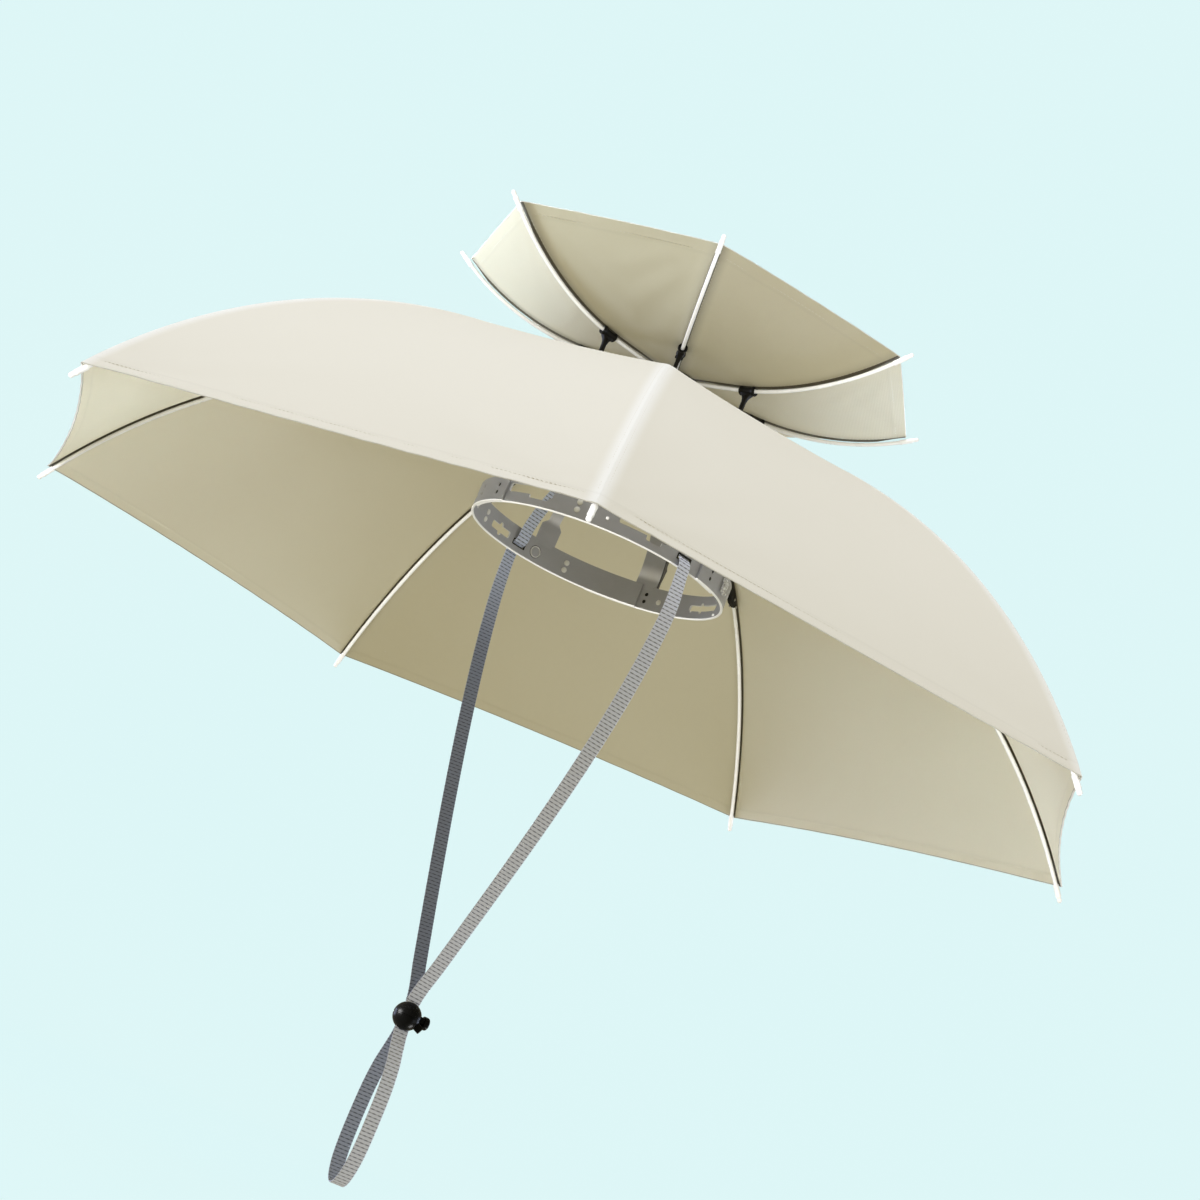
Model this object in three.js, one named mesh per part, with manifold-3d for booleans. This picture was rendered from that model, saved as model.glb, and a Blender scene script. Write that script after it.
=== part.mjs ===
// Umbrella hat: a seven-sided canopy and a small flipped-up top canopy, carried over the head by a band.
// Millimetres, +Z up. The origin is the centre of the head band, in the plane of its bottom edge.
import * as THREE from 'three';
import { mergeVertices } from 'three/addons/utils/BufferGeometryUtils.js';
import Module from 'manifold-3d';

const wasm = await Module();
wasm.setup();

// Gaps and walls
const CLEAR = 0.3;
const CLOTH = 1.2;
// How far a flat facet can lie inside the curve that it stands for
const FACET = 0.5;

// Lower canopy
const RIB_COUNT = 7;
const NEAR_RIB_AZIMUTH = -90;
const CANOPY_RADIUS = 440;
const CORNER_DROP = 74;
const VENT_RADIUS = 190;
const VENT_HEIGHT = 102;
const RIDGE_ARC = 478;
const PANEL_SAG = 5;
const HEM_CUT = 6;

// Top canopy, flipped up into a bowl
const BOWL_RADIUS = 189;
const BOWL_RISE = 47.57;
const BOWL_FLAT = 60;
const BOWL_ARC = 226;
const BOWL_HEM_RISE = 5;
const BOWL_HEM_BOW = 1;

// Ribs, their tips and the struts between the two canopies
const ROD_RADIUS = 1.9;
const JOINT_RADIUS = 262;
const KNUCKLE = { length: 15, side: 6.5 };
const BAR_SIDE = 5.5;
const TIP = { sleeve: 8, wall: 0.9, taper: 4, waist: 0.8, nose: 3, stand_off: 1.5 };
const CLIP_RADIUS = 72;
const CLIP = { length: 13, width: 7, height: 5.5, arm: 4, foot: 8, joint: 1 };

// Hubs on the axis
const HUB = { radius: 27, height: 10 };
const TOP_HUB = { radius: 20, height: 7 };
const POST_RADIUS = 5;
const CAP = { radius: 12, rim: 3, chamfer: 1.5, crown: 1, tip_radius: 4.5, tip_height: 8, tip_taper: 0.7 };

// Head band
const BAND_RADIUS = 101.4;
const BAND_HEIGHT = 20;
const BAND_WALL = 1.6;
const EDGING = { height: 2.2, lip: 0.5 };
const LEG = { width: 23, rise: 5, end_radius: 12, end_share: 0.38 };
const STUD = { radius: 2.2, head: 1.1, low: 7, spacing: 6 };
const HOLE_RADIUS = 1.6;

// Chin strap, in degrees where a size is an azimuth or a heading
const STRAP_WIDTH = 11;
const STRAP_THICK = 1.2;
const STRAP_SEAT = 0.5;
const SLOT = { width: 13.4, low: 5.4, height: 4.8 };
const SLOT_LEFT = { azimuth: 130, bow: 11 };
const SLOT_RIGHT = { azimuth: -53, bow: 21.5 };
const ARCH_POWER = 1.4;
const BOW_POWER = 0.7;
const TOGGLE = { x: 2, y: -5, depth: 368, radius: 10.5, heading: 22 };
const LOOP = { length: 126, half_width: 16.5 };
const LOCK_LEAD = 1;
const BUTTON = { radius: 4.8, stem: 3.6, length: 5, travel: 2, rounding: 1.2 };

const rad = THREE.MathUtils.degToRad;
const mix = THREE.MathUtils.lerp;
const UP = new THREE.Vector3(0, 0, 1);
const HALF_GORE = Math.PI / RIB_COUNT;

const around = (radius, azimuth, z) =>
  new THREE.Vector3(radius * Math.cos(azimuth), radius * Math.sin(azimuth), z);
const ribAzimuth = (k) => rad(NEAR_RIB_AZIMUTH) + 2 * HALF_GORE * k;

// Closed bodies from points and triangles

function body(points, faces) {
  const volume = faces.reduce(
    (sum, [a, b, c]) => sum + points[a].dot(points[b].clone().cross(points[c])), 0);
  const outward = volume < 0 ? faces.map(([a, b, c]) => [a, c, b]) : faces;
  const geometry = new THREE.BufferGeometry();
  geometry.setFromPoints(points);
  geometry.setIndex(outward.flat());
  return geometry;
}

// Joins rings with the same number of points, in a closed loop or with a flat cap at both ends.
function loft(rings, looped = false) {
  const n = rings[0].length;
  const faces = [];
  const spans = looped ? rings.length : rings.length - 1;
  for (let i = 0; i < spans; i += 1) {
    const a = i * n;
    const b = ((i + 1) % rings.length) * n;
    for (let j = 0; j < n; j += 1) {
      const k = (j + 1) % n;
      faces.push([a + j, a + k, b + k], [a + j, b + k, b + j]);
    }
  }
  if (!looped) {
    const last = (rings.length - 1) * n;
    for (let j = 1; j < n - 1; j += 1) {
      faces.push([0, j + 1, j], [last, last + j, last + j + 1]);
    }
  }
  return body(rings.flat(), faces);
}

function welded(geometry) {
  const bare = geometry.clone();
  bare.deleteAttribute('normal');
  bare.deleteAttribute('uv');
  const merged = mergeVertices(bare, 1e-4);
  const corners = merged.index.array;
  const kept = [];
  for (let i = 0; i < corners.length; i += 3) {
    const [a, b, c] = corners.slice(i, i + 3);
    if (a !== b && b !== c && c !== a) kept.push(a, b, c);
  }
  merged.setIndex(kept);
  return merged;
}

function solid(geometry) {
  const { index, attributes } = welded(geometry);
  return new wasm.Manifold(new wasm.Mesh({
    numProp: 3,
    vertProperties: new Float32Array(attributes.position.array),
    triVerts: new Uint32Array(index.array),
  }));
}

function fromSolid(manifold) {
  const mesh = manifold.getMesh();
  const geometry = new THREE.BufferGeometry();
  geometry.setAttribute('position', new THREE.BufferAttribute(mesh.vertProperties.slice(), 3));
  geometry.setIndex(new THREE.BufferAttribute(mesh.triVerts.slice(), 1));
  return geometry;
}

const cutFrom = (base, cutters) => cutters.reduce((rest, tool) => rest.subtract(solid(tool)), base);
const joinTo = (base, added) => added.reduce((whole, piece) => whole.add(solid(piece)), base);

function lathe(profile, sides) {
  const points = profile.map(([radius, height]) => new THREE.Vector2(radius, height));
  return welded(new THREE.LatheGeometry(points, sides)).rotateX(Math.PI / 2);
}

// A box or a peg that points out from the axis, centred on a radius, an azimuth and a height
function outwardBox(radius, azimuth, z, depth, width, height) {
  return new THREE.BoxGeometry(depth, width, height).rotateZ(azimuth)
    .translate(...around(radius, azimuth, z).toArray());
}

function outwardPeg(inner, outer, azimuth, z, radius, sides = 8) {
  return new THREE.CylinderGeometry(radius, radius, outer - inner, sides).rotateZ(Math.PI / 2)
    .rotateZ(azimuth).translate(...around((inner + outer) / 2, azimuth, z).toArray());
}

// Curves of the two ridges, in the plane of a rib: x is the distance from the axis

function arcThrough(low, high, radius) {
  const chord = high.clone().sub(low);
  const reach = Math.sqrt(radius ** 2 - chord.lengthSq() / 4);
  const inward = new THREE.Vector2(chord.y, -chord.x).normalize().multiplyScalar(-reach);
  const centre = low.clone().add(high).multiplyScalar(0.5).add(inward);
  const angleOf = (p) => Math.atan2(p.y - centre.y, p.x - centre.x);
  return { centre, radius, low: angleOf(low), high: angleOf(high) };
}

const ridge = arcThrough(
  new THREE.Vector2(CANOPY_RADIUS, -CORNER_DROP), new THREE.Vector2(VENT_RADIUS, VENT_HEIGHT), RIDGE_ARC);

function onRidge(angle, depth = 0) {
  const reach = ridge.radius - depth;
  return new THREE.Vector2(
    ridge.centre.x + reach * Math.cos(angle), ridge.centre.y + reach * Math.sin(angle));
}

const ridgeAngleAt = (x) => Math.acos((x - ridge.centre.x) / ridge.radius);

function bowlHeight(x) {
  const past = Math.max(0, x - BOWL_FLAT);
  return bowlFloor + BOWL_ARC - Math.sqrt(BOWL_ARC ** 2 - past ** 2);
}

const bowlSlope = (x) => Math.asin(Math.max(0, x - BOWL_FLAT) / BOWL_ARC);

// How far below a ridge something of this half width has to lie to clear the two panels beside it
const underRidge = (halfWidth, steepness) =>
  CLOTH + CLEAR + FACET + halfWidth * Math.tan(HALF_GORE) * steepness;

// Canopies: a column of points on every ridge and between the ridges, backed by its wall of cloth

function shell(columns, wall) {
  const count = columns.length;
  const rows = columns[0].length;
  const rings = columns.map((column, i) => {
    const next = columns[(i + 1) % count];
    const before = columns[(i + count - 1) % count];
    const backing = column.map((point, j) => {
      const along = column[Math.min(j + 1, rows - 1)].clone().sub(column[Math.max(j - 1, 0)]);
      const across = next[j].clone().sub(before[j]);
      const normal = along.cross(across).normalize();
      return point.clone().addScaledVector(normal, wall * Math.sign(normal.z));
    });
    return [...column, ...backing.reverse()];
  });
  return loft(rings, true);
}

function lowerCanopy() {
  const across = 8;
  const rows = 9;
  const ridgeLength = RIDGE_ARC * Math.abs(ridge.high - ridge.low);
  const columns = [];
  for (let k = 0; k < RIB_COUNT; k += 1) {
    const middle = ribAzimuth(k + 0.5);
    for (let i = 0; i < across; i += 1) {
      const u = i / across;
      const fullness = 4 * u * (1 - u);
      const column = [];
      for (let j = 0; j <= rows; j += 1) {
        const v = (j / rows) * (1 - (fullness * HEM_CUT) / ridgeLength);
        const angle = mix(ridge.high, ridge.low, v);
        const edge = onRidge(angle);
        const point = around(edge.x, ribAzimuth(k), edge.y)
          .lerp(around(edge.x, ribAzimuth(k + 1), edge.y), u);
        const sag = (fullness * PANEL_SAG * edge.x) / CANOPY_RADIUS;
        const normal = around(Math.cos(angle), middle, Math.sin(angle));
        column.push(point.addScaledVector(normal, -sag));
      }
      columns.push(column);
    }
  }
  return shell(columns, -CLOTH);
}

function bowlCanopy() {
  const across = 6;
  const hole = POST_RADIUS + 2 * CLEAR;
  const shares = [0, 0.16, 0.3, 0.44, 0.58, 0.72, 0.86, 1];
  const columns = [];
  for (let k = 0; k < RIB_COUNT; k += 1) {
    for (let i = 0; i < across; i += 1) {
      const u = i / across;
      const fullness = 4 * u * (1 - u);
      columns.push(shares.map((share) => {
        const x = mix(hole / Math.cos(HALF_GORE), BOWL_RADIUS + fullness * BOWL_HEM_BOW, share);
        const z = bowlHeight(x) + fullness * BOWL_HEM_RISE * share;
        return around(x, ribAzimuth(k), z).lerp(around(x, ribAzimuth(k + 1), z), u);
      }));
    }
  }
  return shell(columns, CLOTH);
}

// Ribs, all drawn in the plane of one rib

// A bar or rod along a line in the rib's plane; its section is a polygon across and below that line.
function barAlong(line, section) {
  const rings = line.map((point, i) => {
    const along = line[Math.min(i + 1, line.length - 1)].clone().sub(line[Math.max(i - 1, 0)]).normalize();
    const above = new THREE.Vector2(-along.y, along.x);
    return section.map(([side, rise]) =>
      new THREE.Vector3(point.x + above.x * rise, side, point.y + above.y * rise));
  });
  return loft(rings);
}

const roundSection = (radius, sides = 6) => Array.from({ length: sides }, (_, i) => {
  const turn = (2 * Math.PI * i) / sides;
  return [radius * Math.sin(turn), radius * Math.cos(turn)];
});

const squareSection = (width, height) => [
  [-width / 2, -height / 2], [width / 2, -height / 2], [width / 2, height / 2], [-width / 2, height / 2]];

const cornerSteepness = Math.cos(ridge.low);
const rodDepth = ROD_RADIUS + underRidge(ROD_RADIUS, cornerSteepness);
const barDepth = KNUCKLE.side / 2 + underRidge(KNUCKLE.side / 2, Math.cos(ridgeAngleAt(JOINT_RADIUS)));

function tipCap() {
  const bore = ROD_RADIUS + CLEAR;
  const shank = bore + TIP.wall;
  const neck = TIP.sleeve + TIP.taper;
  return lathe([
    [0, TIP.sleeve], [bore, TIP.sleeve], [bore, 0], [shank, 0], [shank, TIP.sleeve],
    [bore * TIP.waist, neck], [bore, neck + TIP.nose / 2], [0, neck + TIP.nose]], 7);
}

// Places a cap so that its sleeve starts past the end of a line and points along its last stretch
function tipMesh(name, end, heading) {
  const mesh = piece(name, tipCap(), FINISH.tip);
  const direction = new THREE.Vector3(heading.x, 0, heading.y);
  mesh.quaternion.setFromUnitVectors(UP, direction);
  mesh.position.set(end.x, 0, end.y).addScaledVector(direction, TIP.stand_off);
  return mesh;
}

function lowerRod() {
  const steps = 8;
  const start = ridgeAngleAt(JOINT_RADIUS) - (KNUCKLE.length / 2 + CLEAR) / RIDGE_ARC;
  const line = Array.from({ length: steps + 1 }, (_, i) =>
    onRidge(mix(start, ridge.low, i / steps), rodDepth));
  const heading = new THREE.Vector2(Math.sin(ridge.low), -Math.cos(ridge.low));
  const end = line.at(-1).clone();
  line.push(end.clone().addScaledVector(heading, TIP.stand_off + TIP.sleeve - CLEAR));
  return { geometry: barAlong(line, roundSection(ROD_RADIUS)), end, heading };
}

// Black inner arm from the hub to the knuckle that holds the rod
function innerArm() {
  const steps = 6;
  const joint = ridgeAngleAt(JOINT_RADIUS);
  const half = KNUCKLE.length / 2 / RIDGE_ARC;
  const start = ridgeAngleAt(HUB.radius + 2 * CLEAR);
  const line = Array.from({ length: steps + 1 }, (_, i) =>
    onRidge(mix(start, joint, i / steps), barDepth));
  const block = [onRidge(joint + half, barDepth), onRidge(joint - half, barDepth)];
  const bar = solid(barAlong(line, squareSection(BAR_SIDE, BAR_SIDE)));
  const knuckle = barAlong(block, squareSection(KNUCKLE.side, KNUCKLE.side));
  return fromSolid(joinTo(bar, [knuckle]));
}

const hubMiddle = onRidge(ridgeAngleAt(HUB.radius), barDepth).y;
const hubBottom = hubMiddle - HUB.height / 2;
const bowlFloor = hubBottom + BOWL_RISE;
const upperRodDepth =
  ROD_RADIUS + CLEAR + FACET + ROD_RADIUS * Math.tan(HALF_GORE) * Math.sin(bowlSlope(BOWL_RADIUS));

function upperRod() {
  const steps = 6;
  const stations = Array.from({ length: steps + 1 }, (_, i) => mix(BOWL_FLAT, BOWL_RADIUS, i / steps));
  const below = (x) => new THREE.Vector2(
    x + upperRodDepth * Math.sin(bowlSlope(x)), bowlHeight(x) - upperRodDepth * Math.cos(bowlSlope(x)));
  const start = new THREE.Vector2(TOP_HUB.radius + CLEAR, bowlFloor - upperRodDepth);
  const line = [start, ...stations.map(below)];
  const slope = bowlSlope(BOWL_RADIUS);
  const heading = new THREE.Vector2(Math.cos(slope), Math.sin(slope));
  const end = line.at(-1).clone();
  line.push(end.clone().addScaledVector(heading, TIP.stand_off + TIP.sleeve - CLEAR));
  return { geometry: barAlong(line, roundSection(ROD_RADIUS)), end, heading };
}

// Clip under an upper rod, with an arm that stands on the inner arm below it
function strut() {
  const slope = bowlSlope(CLIP_RADIUS);
  const rodHeight = bowlHeight(CLIP_RADIUS) - upperRodDepth * Math.cos(slope);
  const armTop = onRidge(ridgeAngleAt(CLIP_RADIUS), barDepth).y + BAR_SIDE / 2 + CLEAR;
  const clipBottom = rodHeight - CLIP.height;
  const clip = new THREE.BoxGeometry(CLIP.length, CLIP.width, CLIP.height + ROD_RADIUS / 2)
    .translate(CLIP_RADIUS, 0, clipBottom + (CLIP.height + ROD_RADIUS / 2) / 2);
  const armEnd = clipBottom + CLIP.joint;
  const arm = new THREE.BoxGeometry(CLIP.arm, CLIP.arm, armEnd - armTop)
    .translate(CLIP_RADIUS, 0, (armEnd + armTop) / 2);
  const foot = new THREE.BoxGeometry(CLIP.foot, CLIP.foot, CLIP.foot)
    .translate(CLIP_RADIUS, 0, armTop);
  const groove = new THREE.CylinderGeometry(ROD_RADIUS + CLEAR, ROD_RADIUS + CLEAR, 2 * CLIP.length, 6)
    .rotateZ(Math.PI / 2).rotateY(-slope).translate(CLIP_RADIUS, 0, rodHeight);
  const fork = new THREE.BoxGeometry(2 * CLIP.foot, BAR_SIDE + 2 * CLEAR, CLIP.foot)
    .translate(CLIP_RADIUS, 0, armTop - CLIP.foot / 2);
  return fromSolid(cutFrom(joinTo(solid(clip), [arm, foot]), [groove, fork]));
}

// Head band: three plastic strips that lap each other, each with a leg up to the hub

const bandStep = BAND_WALL + CLEAR;
const bandBottom = EDGING.height + CLEAR;
const innerBandRadius = BAND_RADIUS - bandStep;
const cutDepth = 10 * BAND_WALL;
const DEGREES_PER_STEP = 6;

// Each strip keeps to the inner or the outer turn; the left one crosses from inner to outer.
// A strap slot is cut in the strips that lie on the inner turn there.
const STRIPS = {
  band_front: { from: -168, to: -28, turn: () => 0, leg: -98, slots: [SLOT_RIGHT] },
  band_right: { from: -43, to: 92, turn: () => 1, leg: 65.5, slots: [] },
  band_left: {
    from: 67,
    to: 219,
    turn: (azimuth) => THREE.MathUtils.smoothstep(azimuth, 118, 186),
    leg: 116,
    slots: [SLOT_LEFT],
  },
};

// Openings in the strips: azimuth range in degrees, height range as shares of the band's height
const WINDOWS = {
  band_front: [
    { from: -138, to: -113, low: 0.475, high: 0.775 }, { from: -119, to: -113, low: 0.275, high: 0.5 },
    { from: -86, to: -63, low: 0.475, high: 0.775 }, { from: -71, to: -65, low: 0.275, high: 0.5 }],
  band_right: [
    { from: 15, to: 38, low: 0.35, high: 0.6 }, { from: 27, to: 32, low: 0.275, high: 0.675 },
    { from: -10, to: 2, low: 0.35, high: 0.6 }],
  band_left: [
    { from: 137, to: 151, low: 0.325, high: 0.6 }, { from: 142, to: 146, low: 0.25, high: 0.7 },
    { from: 171, to: 190, low: 0.35, high: 0.6 }],
};

const STUD_PAIRS = { band_front: [-104], band_right: [50], band_left: [158, 104] };
const HOLE_PAIRS = { band_front: [], band_right: [-35, 64], band_left: [198, 213] };

const stripRadius = (strip, azimuth) => innerBandRadius + bandStep * strip.turn(azimuth);

function bandStrip(name) {
  const strip = STRIPS[name];
  const steps = Math.round((strip.to - strip.from) / DEGREES_PER_STEP);
  const rings = Array.from({ length: steps + 1 }, (_, i) => {
    const azimuth = mix(strip.from, strip.to, i / steps);
    const outer = stripRadius(strip, azimuth);
    const inner = outer - BAND_WALL;
    return [[inner, bandBottom], [outer, bandBottom], [outer, BAND_HEIGHT], [inner, BAND_HEIGHT]]
      .map(([radius, z]) => around(radius, rad(azimuth), z));
  });
  const middleOf = (azimuth) => stripRadius(strip, azimuth) - BAND_WALL / 2;
  const studs = STUD_PAIRS[name].flatMap((azimuth) => [0, STUD.spacing].map((lift) => {
    const middle = middleOf(azimuth);
    const reach = BAND_WALL / 2 + STUD.head;
    return outwardPeg(middle - reach, middle + reach, rad(azimuth), STUD.low + lift, STUD.radius);
  }));
  const windows = WINDOWS[name].map(({ from, to, low, high }) => {
    const azimuth = (from + to) / 2;
    const width = 2 * BAND_RADIUS * Math.sin(rad(to - from) / 2);
    const [middle, height] = [((low + high) / 2) * BAND_HEIGHT, (high - low) * BAND_HEIGHT];
    return outwardBox(middleOf(azimuth), rad(azimuth), middle, cutDepth, width, height);
  });
  const holes = HOLE_PAIRS[name].flatMap((azimuth) => [0, STUD.spacing].map((lift) => {
    const middle = middleOf(azimuth);
    return outwardPeg(
      middle - cutDepth / 2, middle + cutDepth / 2, rad(azimuth), STUD.low + lift, HOLE_RADIUS);
  }));
  const slots = strip.slots.map(({ azimuth }) => outwardBox(
    middleOf(azimuth), rad(azimuth), SLOT.low + SLOT.height / 2, cutDepth, SLOT.width, SLOT.height));
  const added = [crownLeg(strip), ...studs];
  return fromSolid(cutFrom(joinTo(solid(loft(rings)), added), [...windows, ...holes, ...slots]));
}

// A plate that stands on a strip's top edge and bends over to the underside of the hub
function crownLeg(strip) {
  const foot = stripRadius(strip, strip.leg) - BAND_WALL / 2;
  const bendHeight = BAND_HEIGHT + LEG.rise;
  const top = hubBottom - CLEAR - BAND_WALL / 2;
  const line = [new THREE.Vector2(foot, BAND_HEIGHT - 2 * BAND_WALL)];
  const steps = 9;
  for (let i = 0; i <= steps; i += 1) {
    const turn = (Math.PI / 2) * (i / steps);
    line.push(new THREE.Vector2(
      mix(LEG.end_radius, foot, Math.cos(turn)), mix(bendHeight, top, Math.sin(turn))));
  }
  const rings = line.map((point, i) => {
    const along = line[Math.min(i + 1, line.length - 1)].clone().sub(line[Math.max(i - 1, 0)]).normalize();
    const half = (LEG.width / 2) * mix(1, LEG.end_share, i / (line.length - 1));
    return squareSection(2 * half, BAND_WALL).map(([side, rise]) =>
      new THREE.Vector3(point.x - along.y * rise, side, point.y + along.x * rise));
  });
  return loft(rings).rotateZ(rad(strip.leg));
}

function bandEdging() {
  const inner = innerBandRadius - BAND_WALL - EDGING.lip;
  const outer = BAND_RADIUS + EDGING.lip;
  const sides = 60;
  const rings = Array.from({ length: sides }, (_, i) => {
    const azimuth = (2 * Math.PI * i) / sides;
    return [[inner, 0], [outer, 0], [outer, EDGING.height], [inner, EDGING.height]]
      .map(([radius, z]) => around(radius, azimuth, z));
  });
  return loft(rings, true);
}

// Hubs, post and cap

const hubDisc = (radius, bottom, height, bore) => lathe([
  [bore, bottom], [radius, bottom], [radius, bottom + height], [bore, bottom + height], [bore, bottom]],
2 * RIB_COUNT).rotateZ(rad(NEAR_RIB_AZIMUTH) + HALF_GORE / 2);

const capBottom = bowlFloor + CLOTH + CLEAR;

function centrePost() {
  const bottom = hubBottom;
  const top = capBottom - CLEAR;
  return lathe([[0, bottom], [POST_RADIUS, bottom], [POST_RADIUS, top], [0, top]], 12);
}

function topCap() {
  const shoulder = capBottom + CAP.rim;
  return lathe([
    [0, capBottom], [CAP.radius, capBottom], [CAP.radius, shoulder - CAP.chamfer],
    [CAP.radius - CAP.chamfer, shoulder], [CAP.tip_radius, shoulder + CAP.crown],
    [CAP.tip_radius * CAP.tip_taper, shoulder + CAP.tip_height * CAP.tip_taper],
    [0, shoulder + CAP.tip_height]], 20);
}

// Chin strap: over the crown, out through a slot on each side, down to the toggle and round a loop

const toggleHeight = SLOT.low - TOGGLE.depth;
const toggleHeading = rad(TOGGLE.heading);
const toggleCentre = new THREE.Vector3(TOGGLE.x, TOGGLE.y, toggleHeight);
const behindToggle = around(1, toggleHeading + Math.PI / 2, 0);
const archTop = hubBottom - CLEAR - BAND_WALL - STRAP_SEAT - STRAP_THICK / 2;
const strandOffset = STRAP_THICK / 2 + CLEAR / 2;
const toggleEnd = TOGGLE.radius + LOCK_LEAD;

// A point on the strap's bend out of a slot, as shares of its way out and down
const OUT_OF_SLOT = { out: 0.65, down: 0.45 };

// Shape of the loop below the toggle: depth as a share of its length, opening as a share of its half width
const LOOP_SHAPE = [
  { depth: 0.1, open: 0.28 }, { depth: 0.22, open: 0.68 }, { depth: 0.36, open: 0.92 },
  { depth: 0.52, open: 1 }, { depth: 0.68, open: 1 }, { depth: 0.8, open: 0.92 },
  { depth: 0.89, open: 0.74 }, { depth: 0.95, open: 0.5 }, { depth: 0.985, open: 0.25 }];

// Stations from just past the top of the arch to just before the lowest point of the loop
function strapSide({ azimuth, bow }, side) {
  const slotHeading = rad(azimuth - side * 90);
  const stations = [];
  const add = (point, heading) => stations.push({ point, heading });
  const inside = innerBandRadius - BAND_WALL - STRAP_THICK - 2 * CLEAR;
  const archFoot = SLOT.low + SLOT.height + CLEAR;
  const archSteps = 9;
  for (let i = 1; i <= archSteps; i += 1) {
    const turn = (Math.PI / 2) * (1 - i / archSteps);
    const radius = inside * Math.cos(turn) ** (2 / ARCH_POWER);
    const z = mix(archFoot, archTop, Math.sin(turn) ** (2 / ARCH_POWER));
    add(around(radius, rad(azimuth), z), slotHeading);
  }
  const outside = BAND_RADIUS + EDGING.lip + CLEAR + STRAP_SEAT / 2 + STRAP_THICK / 2;
  const middle = SLOT.low + SLOT.height / 2;
  const wallMiddle = innerBandRadius - BAND_WALL / 2;
  add(around(wallMiddle, rad(azimuth), middle + CLEAR), slotHeading);
  add(around(mix(wallMiddle, outside, OUT_OF_SLOT.out), rad(azimuth),
    mix(middle, EDGING.height, OUT_OF_SLOT.down)), slotHeading);
  add(around(outside, rad(azimuth), EDGING.height), slotHeading);
  const start = around(outside + CLEAR, rad(azimuth), -EDGING.height);
  const end = toggleCentre.clone().addScaledVector(behindToggle, side * strandOffset)
    .addScaledVector(UP, toggleEnd);
  const strandSteps = 12;
  for (let i = 0; i <= strandSteps; i += 1) {
    const t = i / strandSteps;
    const outwards = bow * Math.sin(Math.PI * t ** BOW_POWER);
    const point = start.clone().lerp(end, t).add(around(outwards, rad(azimuth), 0));
    add(point, mix(slotHeading, toggleHeading, t));
  }
  add(end.clone().addScaledVector(UP, -2 * toggleEnd), toggleHeading);
  for (const { depth, open } of LOOP_SHAPE) {
    const opening = side * mix(strandOffset, LOOP.half_width, open);
    add(toggleCentre.clone().addScaledVector(behindToggle, opening)
      .addScaledVector(UP, -mix(toggleEnd, LOOP.length, depth)), toggleHeading);
  }
  return stations;
}

function strap() {
  const left = strapSide(SLOT_LEFT, 1);
  const right = strapSide(SLOT_RIGHT, -1);
  const lowest = { point: toggleCentre.clone().addScaledVector(UP, -LOOP.length), heading: toggleHeading };
  const crownHeading = (left[0].heading + right[0].heading) / 2;
  const crown = { point: new THREE.Vector3(0, 0, archTop), heading: crownHeading };
  const route = [crown, ...left, lowest, ...right.reverse()];
  const rings = route.map(({ point, heading }, i) => {
    const next = route[(i + 1) % route.length].point;
    const before = route[(i + route.length - 1) % route.length].point;
    const along = next.clone().sub(before).normalize();
    const level = around(1, heading, 0);
    const across = level.addScaledVector(along, -level.dot(along)).normalize();
    const through = across.clone().cross(along);
    return squareSection(STRAP_WIDTH, STRAP_THICK).map(([side, rise]) =>
      point.clone().addScaledVector(across, side).addScaledVector(through, rise));
  });
  return loft(rings, true);
}

// Cord lock: a ball that the two strands pass through, with a push button in its side

const buttonBore = BUTTON.stem + CLEAR;
const slotHalf = STRAP_WIDTH / 2 + CLEAR;
const buttonEnd = slotHalf + CLEAR + BUTTON.travel;

function toggleBody() {
  const ball = solid(new THREE.SphereGeometry(TOGGLE.radius, 16, 12).rotateX(Math.PI / 2));
  const opening = 2 * (STRAP_THICK + CLEAR) + CLEAR;
  const slot = new THREE.BoxGeometry(2 * slotHalf, opening, 3 * TOGGLE.radius);
  const bore = new THREE.CylinderGeometry(buttonBore, buttonBore, TOGGLE.radius, 12)
    .rotateZ(Math.PI / 2).translate(slotHalf + TOGGLE.radius / 2, 0, 0);
  return fromSolid(cutFrom(ball, [slot, bore]));
}

function toggleButton() {
  const shoulder = TOGGLE.radius + BUTTON.travel;
  const end = shoulder + BUTTON.length;
  return lathe([
    [0, buttonEnd], [BUTTON.stem, buttonEnd], [BUTTON.stem, shoulder], [BUTTON.radius, shoulder],
    [BUTTON.radius, end - 2 * BUTTON.rounding], [BUTTON.radius - BUTTON.rounding, end - BUTTON.rounding / 2],
    [0, end]], 12).rotateY(Math.PI / 2);
}

// Finishes

const FINISH = {
  canvas: { color: 0xebe5d6, roughness: 0.85, metalness: 0 },
  bowl: { color: 0xd8d0b4, roughness: 0.85, metalness: 0 },
  rod: { color: 0xf4f4f2, roughness: 0.35, metalness: 0 },
  tip: { color: 0xf6f6f4, roughness: 0.4, metalness: 0 },
  black: { color: 0x141414, roughness: 0.45, metalness: 0 },
  band: { color: 0x7b7b7d, roughness: 0.4, metalness: 0 },
  edging: { color: 0xf5f5f3, roughness: 0.5, metalness: 0 },
  strap: { color: 0x8e919c, roughness: 0.9, metalness: 0 },
  gloss: { color: 0x0a0a0b, roughness: 0.12, metalness: 0 },
  metal: { color: 0x8c8c8e, roughness: 0.35, metalness: 0.9 },
};

function piece(name, geometry, finish) {
  const mesh = new THREE.Mesh(geometry, new THREE.MeshStandardMaterial(finish));
  mesh.name = name;
  return mesh;
}

// Assembly

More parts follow.
